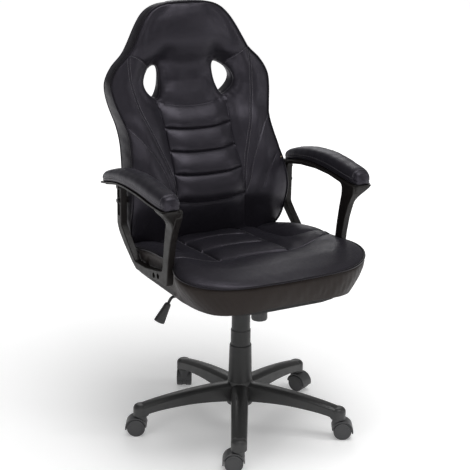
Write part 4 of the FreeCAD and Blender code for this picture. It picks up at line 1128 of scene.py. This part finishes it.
def pad_ring(y, sx, n=72):
    """one section of the pad: closed ring, starting under the middle"""
    w, h, c = (float(sm(y, PAD_Y, a)) for a in (PAD_W, PAD_H, PAD_C))
    zb = float(sm(y, LIP_Y, LIP_Z)) + 0.4
    # the sewn ends tuck in over the last few millimetres
    d = min(y + 153, 236 - y)
    e = math.sqrt(max(0.0, 1 - (1 - min(1, (d + 0.35) / 6.0)) ** 2)) if d < 6 else 1.0
    e = 0.25 + 0.75 * e
    half = np.array([(0, 0), (0.5 * w, 0), (0.8 * w, 0.2), (0.93 * w, 2.5), (1.0 * w, 0.24 * h), (1.01 * w, 0.42 * h), (0.965 * w, 0.62 * h), (0.86 * w, 0.79 * h), (0.66 * w, 0.915 * h), (0.4 * w, 0.975 * h), (0.0, h)])
    hp = resample(spline(half, 0.8), 0.8)
    hp = resample_n(hp, n // 2 + 1)
    ring = np.vstack([hp, hp[-2:0:-1] * [-1, 1]])
    cz = 0.42 * h
    ring = np.stack([ring[:, 0] * e, cz + (ring[:, 1] - cz) * e], 1)
    nn = normals2(ring)
    z = ring[:, 1]
    side = np.clip((np.abs(ring[:, 0]) - 0.55 * w) / (0.3 * w), 0, 1)
    zs = 0.30 * h
    # seam where the top panel meets the border, low on the side
    g = -1.5 * np.exp(-(((z - zs) / 1.5) ** 2)) * side
    g += 0.5 * (1 - np.exp(-(((z - zs) / 6.0) ** 2))) * side
    # two sewn joints across the pad, one behind the nose and one before the tail
    for yj in (-137.0, 214.0):
        g -= 1.1 * math.exp(-(((y - yj) / 1.7) ** 2)) * np.clip(z / 6 - 0.3, 0, 1)
    # leather drawn over foam: low soft ripples along the pad
    g += (0.28 * math.sin(y * 0.083) + 0.2 * math.sin(y * 0.19 + 1.0)) * np.clip(z / h, 0, 1) * (1 if sx > 0 else 0.9)
    g += 0.22 * np.sin(y * 0.55 + z * 0.25) * np.exp(-(((z - zs - 3) / 5.0) ** 2)) * side
    ring = ring + nn * g[:, None]
    ring[:, 1] = np.maximum(ring[:, 1], 0)
    return np.stack([sx * (c + ring[:, 0]), np.full(len(ring), y), zb + ring[:, 1]], 1)


def resample_n(p, n):
    d = np.r_[0, np.cumsum(np.linalg.norm(np.diff(p, axis=0), axis=1))]
    t = np.linspace(0, d[-1], n)
    return np.stack([np.interp(t, d, p[:, k]) for k in range(p.shape[1])], 1)


def make_pad(name, sx):
    ys_ = []
    y = -153.0
    while y < 236:
        ys_.append(y)
        d = min(y + 153, 236 - y)
        near = min(abs(y + 137), abs(y - 214))
        y += 0.5 if d < 3 else 1.0 if d < 8 or near < 6 else 3.0
    ys_.append(236.0)
    rings = [pad_ring(q, sx) for q in ys_]
    if sx < 0:
        rings = [q_[::-1] for q_ in rings]
    v, f = strip_rings(rings)
    n = len(rings[0])
    # rounded ends: two shrinking rings and a small centre facet
    for k0, dy in ((0, -1), (len(rings) - 1, 1)):
        base = rings[k0]
        cc = base.mean(0)
        prev = [k0 * n + i for i in range(n)]
        for kk, dd_ in ((0.86, 0.55), (0.6, 1.1), (0.3, 1.4)):
            q_ = cc + (base - cc) * kk
            q_[:, 1] += dy * dd_
            s0 = len(v)
            v = np.vstack([v, q_])
            cur = list(range(s0, s0 + n))
            for i in range(n):
                j = (i + 1) % n
                f.append((prev[i], prev[j], cur[j], cur[i]))
            prev = cur
        s0 = len(v)
        v = np.vstack([v, (cc + [0, dy * 1.5, 0])[None]])
        for i in range(n):
            f.append((prev[i], prev[(i + 1) % n], s0))
    o = weld(name, [((v, f), 0)], [M_PAD], sharp=60)
    parts = []
    # stitches above the side seam, and either side of the cross seams
    for sd in (-1, 1):
        line = []
        for yy in np.arange(-134, 232, 2.0):
            rg = pad_ring(yy, 1)
            h = float(sm(yy, PAD_Y, PAD_H))
            c = float(sm(yy, PAD_Y, PAD_C))
            zb_ = float(sm(yy, LIP_Y, LIP_Z)) + 0.4
            sel = rg[(rg[:, 0] - c) * sd > 0.5 * float(sm(yy, PAD_Y, PAD_W))]
            q_ = sel[np.argmin(abs(sel[:, 2] - zb_ - 0.30 * h - 3.4))]
            line.append((sx * (q_[0]), yy, q_[2]))
        line = np.array(line)
        nr = np.tile(np.array([[sx * sd * 0.95, 0, 0.3]]), (len(line), 1))
        parts += thread(resample(line, 2.0), resample_like(resample(line, 2.0), line, nr))
    for yj in (-133.6, 210.6):
        rg = pad_ring(yj, 1)
        h = float(sm(yj, PAD_Y, PAD_H))
        c = float(sm(yj, PAD_Y, PAD_C))
        zb_ = float(sm(yj, LIP_Y, LIP_Z)) + 0.4
        sel = rg[rg[:, 2] > zb_ + 0.42 * h]
        sel = sel[np.argsort(sel[:, 0])]
        line = np.stack([sx * sel[:, 0], sel[:, 1], sel[:, 2]], 1)
        nr = np.stack([sx * (sel[:, 0] - c), 0 * sel[:, 0], (sel[:, 2] - zb_ - 0.3 * h)], 1)
        nr /= np.linalg.norm(nr, axis=1)[:, None]
        rs = resample(line, 1.5)
        parts += thread(rs, resample_like(rs, line, nr))
    th = join_parts(name + "_stitching", parts)
    th.data.materials.append(M_THREAD)
    return o, th


pad_r, pad_r_th = make_pad("arm_pad_upholstery_right", 1)
pad_l, pad_l_th = make_pad("arm_pad_upholstery_left", -1)

# ------------------------------------------------------------------ lever grip
lo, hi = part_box("lever_grip")
gy = (lo.y + hi.y) / 2 * 1000
a60 = math.radians(60)
ldir = np.array([-math.cos(a60), 0, -math.sin(a60)])
p2 = np.array([-205 - 14 * math.sin(a60), gy, 397.5 + 14 * math.cos(a60)])
start = p2 + 10 * ldir
sidev = np.array([math.sin(a60), 0, -math.cos(a60)])
GD, GA, GB = [0, 6, 18, 32, 46, 54, 58], [7, 8.6, 10.2, 12.4, 14.8, 15.6, 14.6], [6.5, 8, 9.2, 9.6, 9.6, 9.4, 8.2]
rings = []
for d_ in np.r_[np.arange(0, 2, 0.5), np.arange(2, 56, 0.6), np.arange(56, 58.01, 0.5)]:
    a_ = float(sm(d_, GD, GA))
    b_ = float(sm(d_, GD, GB))
    rib = 0.75 * (0.5 + 0.5 * math.cos((d_ - 12) * 2 * math.pi / 5.2)) if 12 < d_ < 50 else 0.0
    e = 1.0
    if d_ < 1.5:
        e = math.sqrt(1 - (1 - (d_ + 0.3) / 1.8) ** 2)
    if d_ > 55.5:
        e = math.sqrt(max(0.05, 1 - ((d_ - 55.5) / 3.2) ** 2))
    th_ = np.linspace(0, 2 * math.pi, 49)[:-1]
    ct, st = np.cos(th_), np.sin(th_)
    pw = 0.8
    rx = (a_ * e - rib * 0.6) * np.sign(ct) * np.abs(ct) ** pw
    ry = (b_ * e - rib * 0.6) * np.sign(st) * np.abs(st) ** pw
    rings.append(start + ldir * d_ + sidev * rx[:, None] + np.array([0, 1.0, 0]) * ry[:, None])
v, f = strip_rings(rings)
n = len(rings[0])
f.append(tuple(range(n))[::-1])
f.append(tuple(range((len(rings) - 1) * n, len(rings) * n)))
grip = weld("lever_grip_ribbed", [((v, f), 0)], [M_GRIP], sharp=40)

# ------------------------------------------------------------------ tilt spring
th_ = np.linspace(0, 2 * math.pi * 4, 4 * 28 + 1)
cz_ = 379.8 + (403.7 - 379.8) * th_ / th_[-1]
coil_pts = np.stack([12.5 * np.cos(th_), -100 + 12.5 * np.sin(th_), cz_], 1)
v, f = tube("c", coil_pts * MM, np.full(len(th_), 1.6) * MM, 12, False)
coil = add_object("tilt_spring_coil", v, f)
coil.data.materials.append(M_ZINC)

# ------------------------------------------------------------------ materials on the hard parts
LOOK = {
    "five_star_base": M_BASE, "gas_stand_tube": M_CHAMBER, "stand_tube_bushing": M_BUSH, "thrust_bearing": M_ZINC,
    "rod_clip": M_ZINC, "piston_rod": M_CHROME, "pressure_tube": M_CHAMBER, "valve_pin": M_ZINC,
    "column_cover_lower": M_COVER, "column_cover_mid": M_COVER, "column_cover_upper": M_COVER,
    "mechanism_housing": M_BLACKSTEEL, "tilt_pivot_pin": M_ZINC, "seat_plate": M_BLACKSTEEL, "tension_bolt": M_ZINC,
    "spring_washer": M_ZINC, "tilt_spring": M_ZINC, "tension_knob": M_KNOB, "valve_rocker": M_ZINC,
    "lever_rod": M_BLACKSTEEL, "seat_board": M_BACKING, "seat_tee_nuts": M_ZINC, "plate_bolts": M_ZINC,
    "arm_seat_bolts": M_BLACKSTEEL, "back_board": M_WOOD, "back_tee_nuts": M_ZINC, "arm_back_bolts": M_BLACKSTEEL,
    "arm_frame_left": M_ARM, "arm_frame_right": M_ARM, "lever_grip": M_GRIP, "seat_cushion": M_LEATHER,
    "back_cushion": M_LEATHER, "back_cover": M_BACKING, "arm_pad_left": M_PAD, "arm_pad_right": M_PAD,
}
for i in range(1, 6):
    LOOK[f"caster_{i}_stem"] = M_ZINC
    LOOK[f"caster_{i}_axle"] = M_ZINC
    LOOK[f"caster_{i}_hood"] = M_HOOD
    LOOK[f"caster_{i}_wheel_a"] = M_WHEEL
    LOOK[f"caster_{i}_wheel_b"] = M_WHEEL
for name in N:
    o = scene.objects[name]
    o.data.materials.clear()
    o.data.materials.append(LOOK[name])

# ------------------------------------------------------------------ studio
world = bpy.data.worlds.new("studio")
scene.world = world
world.use_nodes = True
wn = world.node_tree
bg = next(n_ for n_ in wn.nodes if n_.type == "BACKGROUND")
bg.inputs["Color"].default_value = (1.0, 1.0, 1.0, 1)
bg.inputs["Strength"].default_value = 0.21
bg2 = wn.nodes.new("ShaderNodeBackground")
bg2.inputs["Color"].default_value = (1.0, 1.0, 1.0, 1)
bg2.inputs["Strength"].default_value = 1.0
lp = wn.nodes.new("ShaderNodeLightPath")
mx = wn.nodes.new("ShaderNodeMixShader")
out_ = next(n_ for n_ in wn.nodes if n_.type == "OUTPUT_WORLD")
wn.links.new(lp.outputs["Is Camera Ray"], mx.inputs[0])
wn.links.new(bg.outputs[0], mx.inputs[1])
wn.links.new(bg2.outputs[0], mx.inputs[2])
wn.links.new(mx.outputs[0], out_.inputs["Surface"])
scene.view_settings.view_transform = "Standard"
scene.view_settings.look = "None"

def floor_paint_and_painted_glow():
    m, nt, b = mat("floor_paint_and_painted_glow")
    vec = coords(nt, 1.0)
    f_ = noise(nt, vec, 0.6, 2.0, 0.5)
    nt.links.new(ramp(nt, f_, [(0.3, (0.93, 0.93, 0.93)), (0.7, (0.95, 0.95, 0.95))]), b.inputs["Base Color"])
    b.inputs["Roughness"].default_value = 0.9
    b.inputs["Specular IOR Level"].default_value = 0.1
    # painted light: the floor glows white, more strongly further from the chair, so it stays pale away from the chair
    ln = nt.nodes.new("ShaderNodeVectorMath")
    ln.operation = "LENGTH"
    nt.links.new(vec, ln.inputs[0])
    b.inputs["Emission Color"].default_value = (1, 1, 1, 1)
    nt.links.new(maprange(nt, ln.outputs["Value"], 0.2, 3.2, 0.22, 0.80), b.inputs["Emission Strength"])
    return m


fl_n = 96
fl_v = [(0, 0, 0)] + [(14 * math.cos(2 * math.pi * i / fl_n), 14 * math.sin(2 * math.pi * i / fl_n), 0) for i in range(fl_n)]
floor = add_object("floor", fl_v, [(0, 1 + i, 1 + (i + 1) % fl_n) for i in range(fl_n)], smooth=False)
M_FLOOR = floor_paint_and_painted_glow()
floor.data.materials.append(M_FLOOR)


def area(name, loc, target, size, power, size_y=None):
    l = bpy.data.lights.new(name, "AREA")
    l.shape = "RECTANGLE"
    l.size = size
    l.size_y = size_y or size
    l.energy = power
    o = bpy.data.objects.new(name, l)
    scene.collection.objects.link(o)
    d = Vector(target) - Vector(loc)
    o.location = loc
    o.rotation_euler = d.to_track_quat("-Z", "Y").to_euler()
    return o


area("key_overhead", (0.3, -0.7, 4.2), (0, 0, 0.4), 2.6, 92, 2.2)
area("front_soft", (-1.2, -3.6, 1.2), (0, 0, 0.75), 1.6, 22, 1.2)
area("fill_left", (-3.4, -1.6, 1.9), (0, 0, 0.7), 0.9, 15, 2.0)
area("fill_right", (3.0, -2.2, 2.0), (0, 0, 0.8), 0.8, 20, 1.8)
area("rim_rear", (1.6, 3.2, 2.6), (0, 0, 0.9), 2.0, 24, 2.0)

# ------------------------------------------------------------------ what each piece is
for o in (back, back_thread, back_piping, back_rear_piping, seat, seat_thread, seat_piping, seat_lower_welt, pad_l, pad_r, pad_l_th, pad_r_th):
    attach(o, "seat")
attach(grip, "lever")
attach(coil, "lift")
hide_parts("back_cushion", "back_cover")
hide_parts("seat_cushion")
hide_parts("arm_pad_left")
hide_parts("arm_pad_right")
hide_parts("lever_grip")
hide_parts("tilt_spring")
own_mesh(coil)
